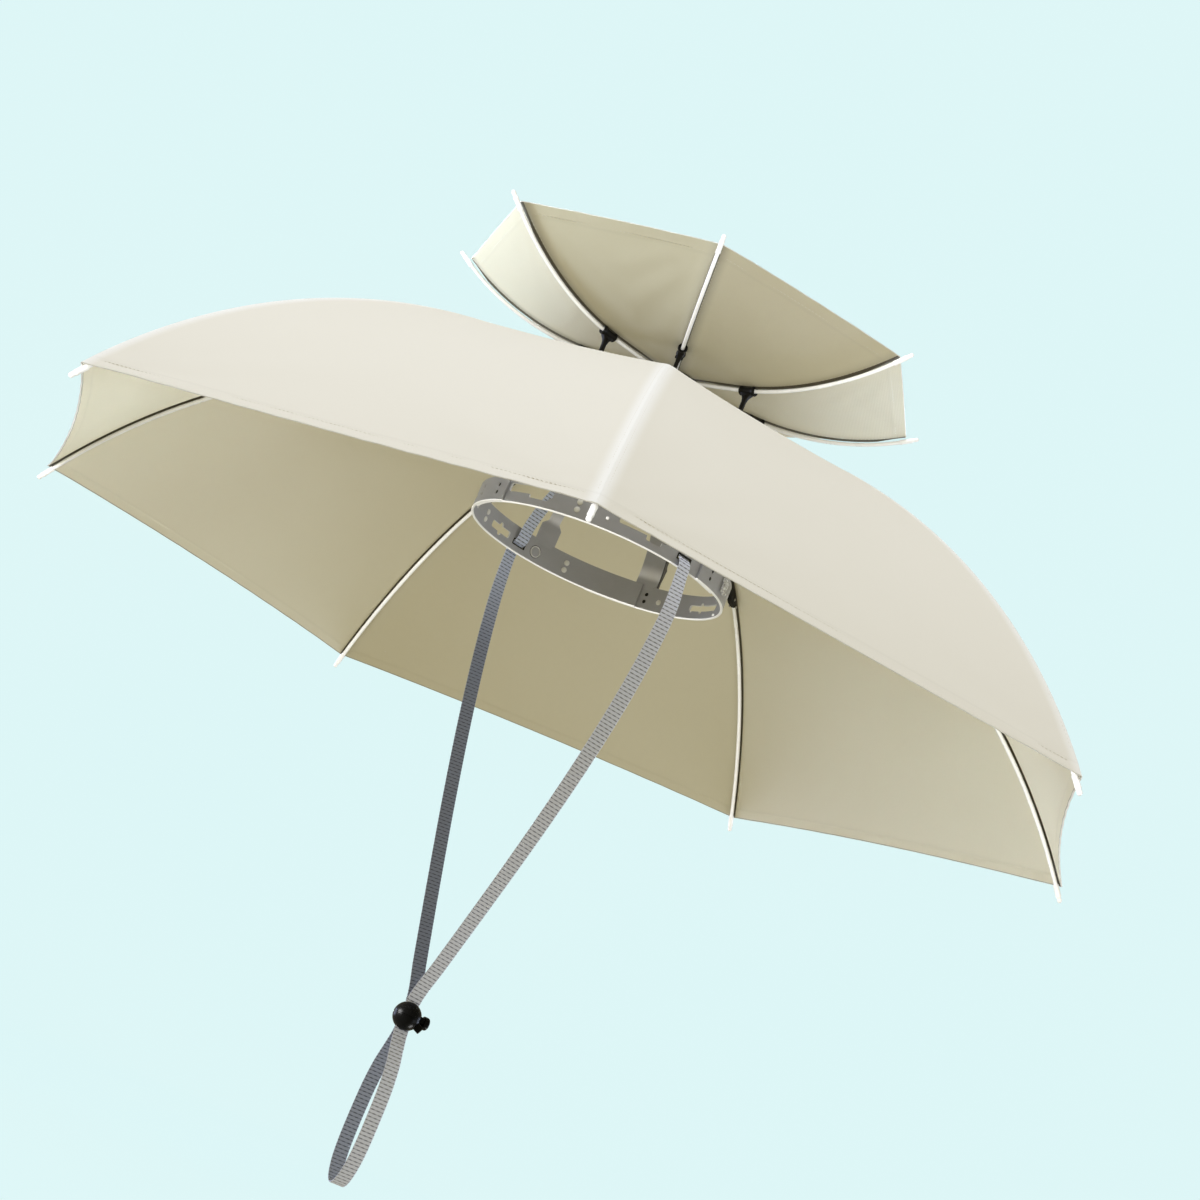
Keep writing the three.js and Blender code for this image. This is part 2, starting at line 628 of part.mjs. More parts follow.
function ribSet(k) {
  const set = new THREE.Group();
  const label = k + 1;
  const lower = lowerRod();
  const upper = upperRod();
  set.add(
    piece(`lower_rib_${label}`, lower.geometry, FINISH.rod),
    tipMesh(`lower_tip_${label}`, lower.end, lower.heading),
    piece(`inner_arm_${label}`, innerArm(), FINISH.black),
    piece(`upper_rib_${label}`, upper.geometry, FINISH.rod),
    tipMesh(`upper_tip_${label}`, upper.end, upper.heading),
    piece(`strut_${label}`, strut(), FINISH.black));
  set.rotation.z = ribAzimuth(k);
  return set;
}

function cordLock() {
  const lock = new THREE.Group();
  lock.add(
    piece('toggle_body', toggleBody(), FINISH.gloss),
    piece('toggle_button', toggleButton(), FINISH.gloss));
  lock.position.copy(toggleCentre);
  lock.rotation.z = toggleHeading;
  return lock;
}

const hat = new THREE.Group();
hat.add(
  piece('lower_canopy', lowerCanopy(), FINISH.canvas),
  piece('upper_canopy', bowlCanopy(), FINISH.bowl),
  ...Array.from({ length: RIB_COUNT }, (_, k) => ribSet(k)),
  piece('lower_hub', hubDisc(HUB.radius, hubBottom, HUB.height, POST_RADIUS + CLEAR), FINISH.black),
  piece('upper_hub', hubDisc(
    TOP_HUB.radius, bowlFloor - CLEAR - TOP_HUB.height, TOP_HUB.height, POST_RADIUS + CLEAR), FINISH.black),
  piece('centre_post', centrePost(), FINISH.metal),
  piece('top_cap', topCap(), FINISH.metal),
  ...Object.keys(STRIPS).map((name) => piece(name, bandStrip(name), FINISH.band)),
  piece('band_edging', bandEdging(), FINISH.edging),
  piece('strap', strap(), FINISH.strap),
  cordLock());

export default hat;
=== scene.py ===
"""Umbrella hat: cloth, rods, head band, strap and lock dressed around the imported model. Metres, +Z up."""

import math
import random

import bpy
import numpy as np
from mathutils import Matrix, Vector


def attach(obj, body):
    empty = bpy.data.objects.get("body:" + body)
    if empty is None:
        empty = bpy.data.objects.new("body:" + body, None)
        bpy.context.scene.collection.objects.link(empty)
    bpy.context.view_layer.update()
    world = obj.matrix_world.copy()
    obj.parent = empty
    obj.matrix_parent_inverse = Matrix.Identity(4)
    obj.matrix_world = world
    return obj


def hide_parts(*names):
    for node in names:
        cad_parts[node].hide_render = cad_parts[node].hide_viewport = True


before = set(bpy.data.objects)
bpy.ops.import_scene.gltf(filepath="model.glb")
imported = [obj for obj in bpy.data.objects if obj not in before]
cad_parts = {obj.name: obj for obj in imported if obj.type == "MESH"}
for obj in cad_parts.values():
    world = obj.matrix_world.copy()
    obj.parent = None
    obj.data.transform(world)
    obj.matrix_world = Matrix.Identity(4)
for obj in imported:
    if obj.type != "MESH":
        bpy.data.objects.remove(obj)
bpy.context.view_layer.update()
scene = bpy.context.scene
MM = 0.001

# Camera, below the hat and tilted
CAMERA_PLACE = (0.0543, -1.8032, -0.4337)
CAMERA_AIM = (-0.0219, 0.9751, 0.2206)
CAMERA_ROLL = 22.8
CAMERA_LENS = 74.33


def make_camera():
    camera = bpy.data.objects.new("camera", bpy.data.cameras.new("camera"))
    camera.data.lens = CAMERA_LENS
    camera.data.clip_end = 60
    aim = Vector(CAMERA_AIM).to_track_quat("-Z", "Y")
    roll = Matrix.Rotation(math.radians(CAMERA_ROLL), 3, "Z").to_quaternion()
    camera.rotation_mode = "QUATERNION"
    camera.rotation_quaternion = aim @ roll
    camera.location = CAMERA_PLACE
    scene.collection.objects.link(camera)
    scene.camera = camera


make_camera()

# Sizes of the hat, as its solids have them
RIBS = 7
HALF_GORE = math.pi / RIBS
CANOPY_RADIUS, CORNER_DROP = 440 * MM, 74 * MM
VENT_RADIUS, VENT_HEIGHT = 190 * MM, 102 * MM
RIDGE_ARC = 478 * MM
PANEL_SAG, HEM_CUT = 5 * MM, 6 * MM
BOWL_RADIUS, BOWL_FLOOR, BOWL_FLAT, BOWL_ARC = 189 * MM, 157.54 * MM, 60 * MM, 226 * MM
BOWL_HEM_RISE = 1.2 * MM
WALL = 1.2 * MM
POST_RADIUS = 5 * MM
BAND_RADIUS, BAND_HEIGHT, BAND_WALL = 101.4 * MM, 20 * MM, 1.6 * MM
ROD_RADIUS = 1.9 * MM
TOGGLE_CENTRE = Vector((2, -5, -362.6)) * MM
TOGGLE_RADIUS = 10.5 * MM
TOGGLE_HEADING = math.radians(22)


def around(radius, azimuth, z):
    return Vector((radius * math.cos(azimuth), radius * math.sin(azimuth), z))


def rib_azimuth(k):
    return math.radians(-90) + 2 * HALF_GORE * k


def mix(a, b, share):
    return a + (b - a) * share


# Finishes


class Socket:
    """A shader socket that takes part in arithmetic and adds the Math nodes for it."""

    def __init__(self, finish, output):
        self.finish, self.output = finish, output

    def math(self, operation, *values):
        sockets = dict(enumerate(values))
        return self.finish.add("Math", {"operation": operation}, sockets)

    def __add__(self, other):
        return self.math("ADD", self, other)

    def __sub__(self, other):
        return self.math("SUBTRACT", self, other)

    def __rsub__(self, other):
        return self.math("SUBTRACT", other, self)

    def __mul__(self, other):
        return self.math("MULTIPLY", self, other)

    __radd__ = __add__
    __rmul__ = __mul__

    def sine(self):
        return self.math("SINE", self)

    def above(self, level, width):
        """0 below a level, 1 above it, with a soft step of that width."""
        return self.finish.add("MapRange", {"interpolation_type": "SMOOTHSTEP"}, {
            "Value": self, "From Min": level - width / 2, "From Max": level + width / 2})


class Finish:
    """One material, whose nodes come from add()."""

    def __init__(self, name, **constants):
        self.material = bpy.data.materials.new(name)
        self.material.use_nodes = True
        self.tree = self.material.node_tree
        self.shader = self.tree.nodes["Principled BSDF"]
        self.set(**constants)

    def add(self, kind, settings=None, sockets=None, output=0):
        made = self.tree.nodes.new("ShaderNode" + kind)
        for key, value in (settings or {}).items():
            setattr(made, key, value)
        for key, value in (sockets or {}).items():
            self.plug(made.inputs[key], value)
        return Socket(self, made.outputs[output])

    def plug(self, socket, value):
        if isinstance(value, Socket):
            self.tree.links.new(value.output, socket)
        elif socket.type == "RGBA" and len(value) == 3:
            socket.default_value = (*value, 1)
        else:
            socket.default_value = value

    def set(self, **values):
        for socket, value in values.items():
            self.plug(self.shader.inputs[socket.replace("_", " ").title().replace("Ior", "IOR")], value)
        return self

    def noise(self, scale, detail=3, roughness=0.5, stretch=(1, 1, 1)):
        place = self.add("TexCoord", output="Object")
        if stretch != (1, 1, 1):
            place = self.add("Mapping", {}, {"Vector": place, "Scale": stretch})
        return self.add("TexNoise", {}, {
            "Vector": place, "Scale": scale, "Detail": detail, "Roughness": roughness})

    def tint(self, share, dark, light):
        return self.add("Mix", {"data_type": "RGBA"}, {0: share, 6: dark, 7: light}, output=2)

    def cloth_place(self, which, layer="cloth"):
        """Metres across or along a piece of cloth, or its distance from a seam or a hem."""
        place = self.add("UVMap", {"uv_map": layer})
        return self.add("SeparateXYZ", {}, {0: place}, output=which)

    def height(self):
        """Height of the surface in the hat's frame."""
        return self.add("SeparateXYZ", {}, {0: self.add("TexCoord", output="Object")}, output=2)

    def bump(self, height, distance, strength=1.0, under=None):
        sockets = {"Height": height, "Distance": distance, "Strength": strength}
        if under is not None:
            sockets["Normal"] = under
        return self.add("Bump", {}, sockets)


CLOTH_RIB, STRAP_RIB, DASH_PITCH = 1.1 * MM, 2.7 * MM, 4.4 * MM


def cloth_finish(name, light, dark, soil, ridge=None, seam_shade=0.0):
    """Closely woven cloth: fine cross ribs, slight unevenness of colour, a soft crumple and a line of painted
    shade where the hem is folded. ridge is the colour of the painted highlight beside the seams, and
    seam_shade the share of the soft shade that is painted along them."""
    made = Finish(name, roughness=0.82, sheen_weight=0.2, sheen_roughness=0.45, specular_ior_level=0.25)
    across, along = made.cloth_place(0), made.cloth_place(1)
    pitch = 2 * math.pi / CLOTH_RIB
    ribs = (along * pitch).sine() * 0.5 + (across * pitch * 1.4).sine() * 0.25 + 0.5
    cloudy = made.noise(5.5, 4, 0.55)
    slubs = made.noise(420, 2, 0.6, stretch=(1, 1, 0.25))
    share = (cloudy - 0.5) * 0.6 + 0.5 + (slubs - 0.5) * 0.2 + (ribs - 0.5) * 0.12
    wear_and_painted_light = made.tint(made.noise(2.3, 2, 0.4).above(0.66, 0.22) * 0.25, made.tint(share, dark, light), soil)
    from_seam, from_hem = made.cloth_place(0, "edges"), made.cloth_place(1, "edges")
    if ridge:
        # Painted highlight: the pale ridge colour within about a centimetre of each seam.
        wear_and_highlight = (1 - from_seam.above(5.5 * MM, 10 * MM)) * (0.8 + made.noise(30, 3, 0.6) * 0.3)
        wear_and_painted_light = made.tint(wear_and_highlight, wear_and_painted_light, ridge)
    if seam_shade:
        shade = (1 - from_seam.above(6 * MM, 11 * MM)) * (1 - across.above(0, 4 * MM) * 0.55)
        wear_and_painted_light = made.tint(shade * seam_shade, wear_and_painted_light, tuple(c * 0.45 for c in dark))
    # Painted shade: a faint darker line just past where the hem is folded under.
    hem_fold_shade = from_hem.above(8.6 * MM, 1.2 * MM) * (1 - from_hem.above(10.2 * MM, 2.4 * MM))
    wear_and_painted_light = made.tint(hem_fold_shade * 0.08, wear_and_painted_light, tuple(c * 0.6 for c in dark))
    crumple = made.noise(26, 3, 0.5)
    soft = made.bump(crumple, 0.35 * MM, 0.35)
    return made.set(base_color=wear_and_painted_light, normal=made.bump(ribs + slubs * 0.4, 0.06 * MM, 0.6, soft))


def plastic_finish(name, light, dark, roughness, grain=900, depth=0.02, bend=None, **constants):
    """Moulded plastic with a fine grain, slight flow marks and a little rubbing. bend is the height of the
    painted highlight where a plate bends over."""
    made = Finish(name, **constants)
    flow = made.noise(35, 4, 0.6, stretch=(1, 1, 2.5))
    texture = made.noise(grain, 2, 0.5)
    wear_and_highlight = made.noise(90, 5, 0.65).above(0.62, 0.12)
    color = made.tint((flow - 0.5) * 0.9 + 0.5 + wear_and_highlight * 0.15, dark, light)
    # Painted highlight: a bright band at the bend's height.
    if bend:
        z = made.height()
        shine = z.above(bend - 3.5 * MM, 5 * MM) * (1 - z.above(bend + 4 * MM, 9 * MM))
        color = made.tint(shine * 0.85, color, tuple(c * 2.0 for c in light))
    return made.set(
        base_color=color, roughness=roughness + (flow - 0.5) * 0.12 + wear_and_highlight * 0.08,
        normal=made.bump(texture, depth * MM, 0.5))


def webbing_finish(name, light, dark, shaded=False):
    """Ribbed webbing: pale ribs of weft, parted by short dark dashes that are staggered from rib to rib,
    with heather in the yarns. The shaded face is painted darker between the band and the lock."""
    made = Finish(name, roughness=0.85, sheen_weight=0.25, sheen_roughness=0.4, specular_ior_level=0.2)
    across, along = made.cloth_place(0), made.cloth_place(1)
    turn = along * (math.pi / STRAP_RIB)
    parting = (1 - turn.math("ABSOLUTE", turn.sine())).above(0.62, 0.6)
    dashes = ((across * (2 * math.pi / DASH_PITCH)).sine() * (turn + math.pi / 2).sine()).above(-0.1, 0.8)
    heather = made.noise(1300, 2, 0.7)
    edge = across.math("ABSOLUTE", across).above(5.1 * MM, 0.4 * MM)
    share = 1 - parting * (0.5 + dashes * 0.5) * 0.95 + (heather - 0.5) * 0.3 + edge * 0.3
    if shaded:
        # Painted shade, darkest between the band and the lock.
        z = made.height()
        share = share * (0.27 + z.above(-0.03, 0.13) * 0.6 + (1 - z.above(-0.345, 0.07)) * 0.25)
    return made.set(
        base_color=made.tint(share, dark, light),
        normal=made.bump(heather * 0.15 - parting * 0.6, 0.2 * MM, 0.5))


def clear_finish(name):
    """Thin clear film with cloudy creases."""
    made = Finish(name, roughness=0.12, ior=1.45)
    cloudy = made.noise(260, 4, 0.7)
    return made.set(base_color=made.tint(cloudy, (0.75, 0.75, 0.74), (0.98, 0.98, 0.98)),
                    alpha=0.3 + cloudy.above(0.5, 0.2) * 0.5, normal=made.bump(cloudy, 0.4 * MM, 0.8))


def metal_finish(name, light, dark, roughness):
    made = Finish(name, metallic=1.0)
    brushed = made.noise(240, 3, 0.6, stretch=(1, 1, 12))
    return made.set(
        base_color=made.tint(brushed, dark, light), roughness=roughness + (brushed - 0.5) * 0.2,
        normal=made.bump(brushed, 0.02 * MM, 0.4))


# The outer cloth's last colour is a painted highlight along the ridges.
CREAM = cloth_finish(
    "cream_cloth", (0.875, 0.845, 0.765), (0.84, 0.81, 0.725), (0.80, 0.765, 0.67), (0.98, 0.975, 0.95))
# The undersides' darker, warmer colours than the outer cloth's are painted shade, for the light bounced
# inside the canopies' hollows.
CREAM_UNDER = cloth_finish(
    "cream_cloth_under", (0.80, 0.75, 0.585), (0.75, 0.70, 0.53), (0.72, 0.665, 0.495))
BOWL_UNDER = cloth_finish("bowl_cloth_under", (0.755, 0.71, 0.55), (0.705, 0.66, 0.50), (0.67, 0.62, 0.46),
                          seam_shade=0.6)
BOWL_INSIDE = cloth_finish("bowl_cloth_inside", (0.95, 0.93, 0.86), (0.92, 0.90, 0.82), (0.88, 0.86, 0.78),
                           seam_shade=0.12)
HEM = cloth_finish("hem_edge", (0.93, 0.92, 0.88), (0.84, 0.82, 0.76), (0.78, 0.75, 0.68))
# Painted shadow: the dark strip along each seam underneath, standing for the rod's shadow in the seam.
SEAM_SHADOW = cloth_finish("seam_shadow", (0.20, 0.185, 0.14), (0.09, 0.08, 0.06), (0.13, 0.12, 0.085))
# Painted shade: the thin dark line just inside the hem's edge underneath.
HEM_SHADE_LINE = cloth_finish("hem_shade", (0.45, 0.42, 0.33), (0.33, 0.31, 0.24), (0.3, 0.28, 0.2))
THREAD = cloth_finish("sewing_thread", (0.86, 0.83, 0.75), (0.80, 0.77, 0.68), (0.76, 0.72, 0.62))
WHITE_ROD = plastic_finish(
    "white_rod", (0.95, 0.95, 0.95), (0.86, 0.86, 0.86), 0.28, coat_weight=0.3, coat_roughness=0.2)
WHITE_CAP = plastic_finish("white_cap", (0.95, 0.95, 0.95), (0.84, 0.84, 0.83), 0.4, grain=1400)
BLACK = plastic_finish(
    "black_plastic", (0.016, 0.015, 0.014), (0.004, 0.004, 0.004), 0.55, specular_ior_level=0.25)
GREY = plastic_finish("grey_band", (0.41, 0.415, 0.455), (0.325, 0.33, 0.36), 0.36, grain=1200)
# Painted highlight: the pale grey of the faces cut through the band and of the button's raised ring.
CUT_EDGE_HIGHLIGHT = plastic_finish("cut_edge_highlight", (0.78, 0.78, 0.78), (0.58, 0.58, 0.6), 0.4, grain=1200)
# Each leg's finish carries a painted highlight at the height where its plate bends over.
LEG = {level: plastic_finish(
    "grey_leg_%d" % level, (0.44, 0.445, 0.49), (0.34, 0.345, 0.38), 0.3, grain=1500, bend=level * MM)
    for level in (29, 40)}
# Painted shade: near black for the leg's side rim and the groove round the ring button, where the grey
# plastic lies in shade.
GREY_SHADE = plastic_finish("grey_painted_shade", (0.10, 0.10, 0.105), (0.05, 0.05, 0.053), 0.45)
STUD = plastic_finish("stud_plastic", (0.88, 0.88, 0.85), (0.66, 0.66, 0.64), 0.35, grain=1000)
WHITE_EDGE = plastic_finish("white_edge", (0.95, 0.95, 0.94), (0.86, 0.86, 0.85), 0.45)
GLOSS = plastic_finish(
    "gloss_black", (0.004, 0.004, 0.004), (0.0015, 0.0015, 0.0015), 0.25, grain=300, depth=0.004,
    specular_ior_level=0.07)
METAL = metal_finish("grey_metal", (0.55, 0.55, 0.56), (0.36, 0.36, 0.37), 0.34)
FILM = clear_finish("clear_film")
WEBBING = webbing_finish("grey_webbing", (0.79, 0.83, 1.0), (0.105, 0.115, 0.18))
# The inside face's darker colours, and its darkening between the band and the lock, are painted shade.
WEBBING_INSIDE = webbing_finish(
    "grey_webbing_inside", (0.72, 0.79, 1.0), (0.045, 0.052, 0.078), shaded=True)

# Collections of the pieces that some lights light apart, by the pieces' first finish

WHITE_PIECES, LOCK_PIECES, CANOPY_PIECES, BOWL_PIECES = (
    bpy.data.collections.new(kind + "_pieces") for kind in ("white", "lock", "canopy", "bowl"))
LIT_APART = {WHITE_ROD: WHITE_PIECES, WHITE_CAP: WHITE_PIECES, WHITE_EDGE: WHITE_PIECES,
             GLOSS: LOCK_PIECES, CREAM: CANOPY_PIECES, BOWL_UNDER: BOWL_PIECES}

# Meshes


def place(name, points, faces, finishes, body="hat", slot=None, replaced=(), sharp=None, uv=None,
          kinds=None):
    """Makes one piece from points and faces, and rides it on its body. Edges over sharp degrees stay
    crisp."""
    mesh = bpy.data.meshes.new(name)
    mesh.from_pydata([tuple(p) for p in points], [], [tuple(int(i) for i in f) for f in faces])
    corner = np.empty(len(mesh.loops), np.int32)
    mesh.loops.foreach_get("vertex_index", corner)
    for layer, places in (uv or {}).items():
        flat = np.asarray(places, np.float32)[corner].ravel()
        mesh.uv_layers.new(name=layer).data.foreach_set("uv", flat)
    finishes = finishes if isinstance(finishes, list) else [finishes]
    for finish in finishes:
        mesh.materials.append(finish.material)
    if kinds is not None:
        mesh.polygons.foreach_set("material_index", np.asarray(kinds, np.int32))
    mesh.polygons.foreach_set("use_smooth", [True] * len(mesh.polygons))
    if sharp:
        mesh.set_sharp_from_angle(angle=math.radians(sharp))
    mesh.update()
    piece = bpy.data.objects.new(name, mesh)
    scene.collection.objects.link(piece)
    if finishes[0] in LIT_APART:
        LIT_APART[finishes[0]].objects.link(piece)
    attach(piece, body)
    if replaced:
        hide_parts(*replaced)
    return piece


def full_turn(count):
    return [2 * math.pi * j / count for j in range(count)]


def in_mm(pairs, lift=0.0):
    """Pairs in millimetres, as pairs in metres whose second number is lifted."""
    return [(a * MM, lift + b * MM) for a, b in pairs]


def heading_at(line, i):
    return (line[min(i + 1, len(line) - 1)] - line[max(i - 1, 0)]).normalized()


def in_plane(p):
    """A point of a rib's plane, in space."""
    return Vector((p.x, 0, p.y))


def off_line(point, across, side, rise):
    """A point of a rib's plane moved across its line by rise and out of the plane by side."""
    return Vector((point.x + across.x * rise, side, point.y + across.y * rise))


def pointing_out(azimuth, radius, z, way=1):
    """Turns the Z axis to point away from the hat's axis, or towards it where way is -1."""
    return (Matrix.Rotation(math.radians(azimuth), 4, "Z") @ Matrix.Translation((radius, 0, z))
            @ Matrix.Rotation(way * math.pi / 2, 4, "Y"))


def loft(rings, looped=False, start=0):
    """Faces that join rings of the same number of points, in a closed loop or capped at both ends."""
    n, count = len(rings[0]), len(rings)
    faces = []
    for i in range(count if looped else count - 1):
        a, b = start + i * n, start + ((i + 1) % count) * n
        faces += [(a + j, a + (j + 1) % n, b + (j + 1) % n, b + j) for j in range(n)]
    if not looped:
        faces += [tuple(start + j for j in reversed(range(n))),
                  tuple(start + (count - 1) * n + j for j in range(n))]
    return faces


class Parts:
    """Several closed bodies that become one piece."""

    def __init__(self):
        self.points, self.faces = [], []

    def loft(self, rings, looped=False):
        self.faces += loft(rings, looped, len(self.points))
        self.points += [Vector(p) for ring in rings for p in ring]
        return self

    def tube(self, line, radius, sides=14):
        """A round bar along points."""
        rings, side = [], None
        for i, point in enumerate(line):
            along = heading_at(line, i)
            if side is None:
                side = along.orthogonal().normalized()
            side = (side - along * side.dot(along)).normalized()
            other = along.cross(side)
            rings.append([point + (side * math.cos(t) + other * math.sin(t)) * radius
                          for t in full_turn(sides)])
        return self.loft(rings)

    def turned(self, profile, sides=24, to=Matrix.Identity(4)):
        """A turned shape from radius and height pairs about Z, closed at its two ends, then moved."""
        return self.loft([[to @ Vector((r * math.cos(t), r * math.sin(t), z)) for t in full_turn(sides)]
                          for r, z in profile])

    def block(self, low, high, to=Matrix.Identity(4)):
        corners = [Vector((x, y, z)) for z in (low[2], high[2])
                   for x, y in ((low[0], low[1]), (high[0], low[1]), (high[0], high[1]), (low[0], high[1]))]
        return self.loft([[to @ c for c in corners[:4]], [to @ c for c in corners[4:]]])

    def turn_about_axis(self, azimuth):
        turn = Matrix.Rotation(azimuth, 4, "Z")
        self.points = [turn @ p for p in self.points]
        return self

    def add(self, other):
        start = len(self.points)
        self.faces += [tuple(start + i for i in face) for face in other.faces]
        self.points += other.points
        return self

    def place(self, name, finishes, **settings):
        return place(name, self.points, self.faces, finishes, **settings)


def soften(piece, width, segments=2, angle=40):
    """Rounds the hard edges of a moulded piece."""
    bevel = piece.modifiers.new("edges", "BEVEL")
    bevel.width, bevel.segments, bevel.limit_method = width, segments, "ANGLE"
    bevel.angle_limit = math.radians(angle)
    bevel.use_clamp_overlap = True
    bevel.harden_normals = False
    return piece


# Curves of the two ridges, in the plane of a rib

chord = Vector((VENT_RADIUS - CANOPY_RADIUS, VENT_HEIGHT + CORNER_DROP))
chord_middle = Vector(((VENT_RADIUS + CANOPY_RADIUS) / 2, (VENT_HEIGHT - CORNER_DROP) / 2))
reach_in = math.sqrt(RIDGE_ARC ** 2 - chord.length_squared / 4)
RIDGE_CENTRE = chord_middle - Vector((chord.y, -chord.x)).normalized() * reach_in
RIDGE_LOW = math.atan2(-CORNER_DROP - RIDGE_CENTRE.y, CANOPY_RADIUS - RIDGE_CENTRE.x)
RIDGE_HIGH = math.atan2(VENT_HEIGHT - RIDGE_CENTRE.y, VENT_RADIUS - RIDGE_CENTRE.x)
RIDGE_LENGTH = RIDGE_ARC * abs(RIDGE_HIGH - RIDGE_LOW)


def on_ridge(angle, depth=0.0):
    reach = RIDGE_ARC - depth
    return Vector((RIDGE_CENTRE.x + reach * math.cos(angle), RIDGE_CENTRE.y + reach * math.sin(angle)))


def ridge_angle_at(x):
    return math.acos((x - RIDGE_CENTRE.x) / RIDGE_ARC)


def bowl_height(x):
    past = max(0.0, x - BOWL_FLAT)
    return BOWL_FLOOR + BOWL_ARC - math.sqrt(BOWL_ARC ** 2 - past ** 2)


def bowl_slope(x):
    return math.asin(max(0.0, x - BOWL_FLAT) / BOWL_ARC)


# Cloth

CLOTH_THICK, HEM_EDGE = 0.8 * MM, 0.6 * MM
HEM_ROW, SEAM_ROW = 7.5 * MM, 2.6 * MM
SEAM_STEPS = (0, 0.5 * MM, 0.9 * MM, 2.1 * MM, 3.0 * MM, 5.2 * MM, 6.2 * MM)
HEM_STEPS = (0, 0.5 * MM, 1.2 * MM, 7.2 * MM, 7.8 * MM, 8.4 * MM, 9.6 * MM)


def canopy_point(k, u, run):
    """Outer surface of the main canopy: u across the gore, run metres down from the vent on a ridge."""
    fullness = 4 * u * (1 - u)
    run *= 1 - fullness * HEM_CUT / RIDGE_LENGTH
    angle = mix(RIDGE_HIGH, RIDGE_LOW, run / RIDGE_LENGTH)
    edge = on_ridge(angle)
    point = around(edge.x, rib_azimuth(k), edge.y).lerp(around(edge.x, rib_azimuth(k + 1), edge.y), u)
    sag = fullness * PANEL_SAG * edge.x / CANOPY_RADIUS
    middle = rib_azimuth(k + 0.5)
    return point - around(math.cos(angle), middle, math.sin(angle)) * sag


def canopy_width(run):
    return 2 * on_ridge(mix(RIDGE_HIGH, RIDGE_LOW, run / RIDGE_LENGTH)).x * math.sin(HALF_GORE)


BOWL_HOLE = (POST_RADIUS + 0.6 * MM) / math.cos(HALF_GORE)
BOWL_RUN = BOWL_RADIUS - BOWL_HOLE


def bowl_point(k, u, run):
    """Lower surface of the flipped-up canopy: run metres out from the post, level."""
    fullness = 4 * u * (1 - u)
    share = run / BOWL_RUN
    x = mix(BOWL_HOLE, BOWL_RADIUS, share)
    z = bowl_height(x) + fullness * BOWL_HEM_RISE * share
    return around(x, rib_azimuth(k), z).lerp(around(x, rib_azimuth(k + 1), z), u)


def bowl_width(run):
    return 2 * (BOWL_HOLE + run) * math.sin(HALF_GORE)


def step(value, level, width):
    share = np.clip((value - level) / width + 0.5, 0, 1)
    return share * share * (3 - 2 * share)


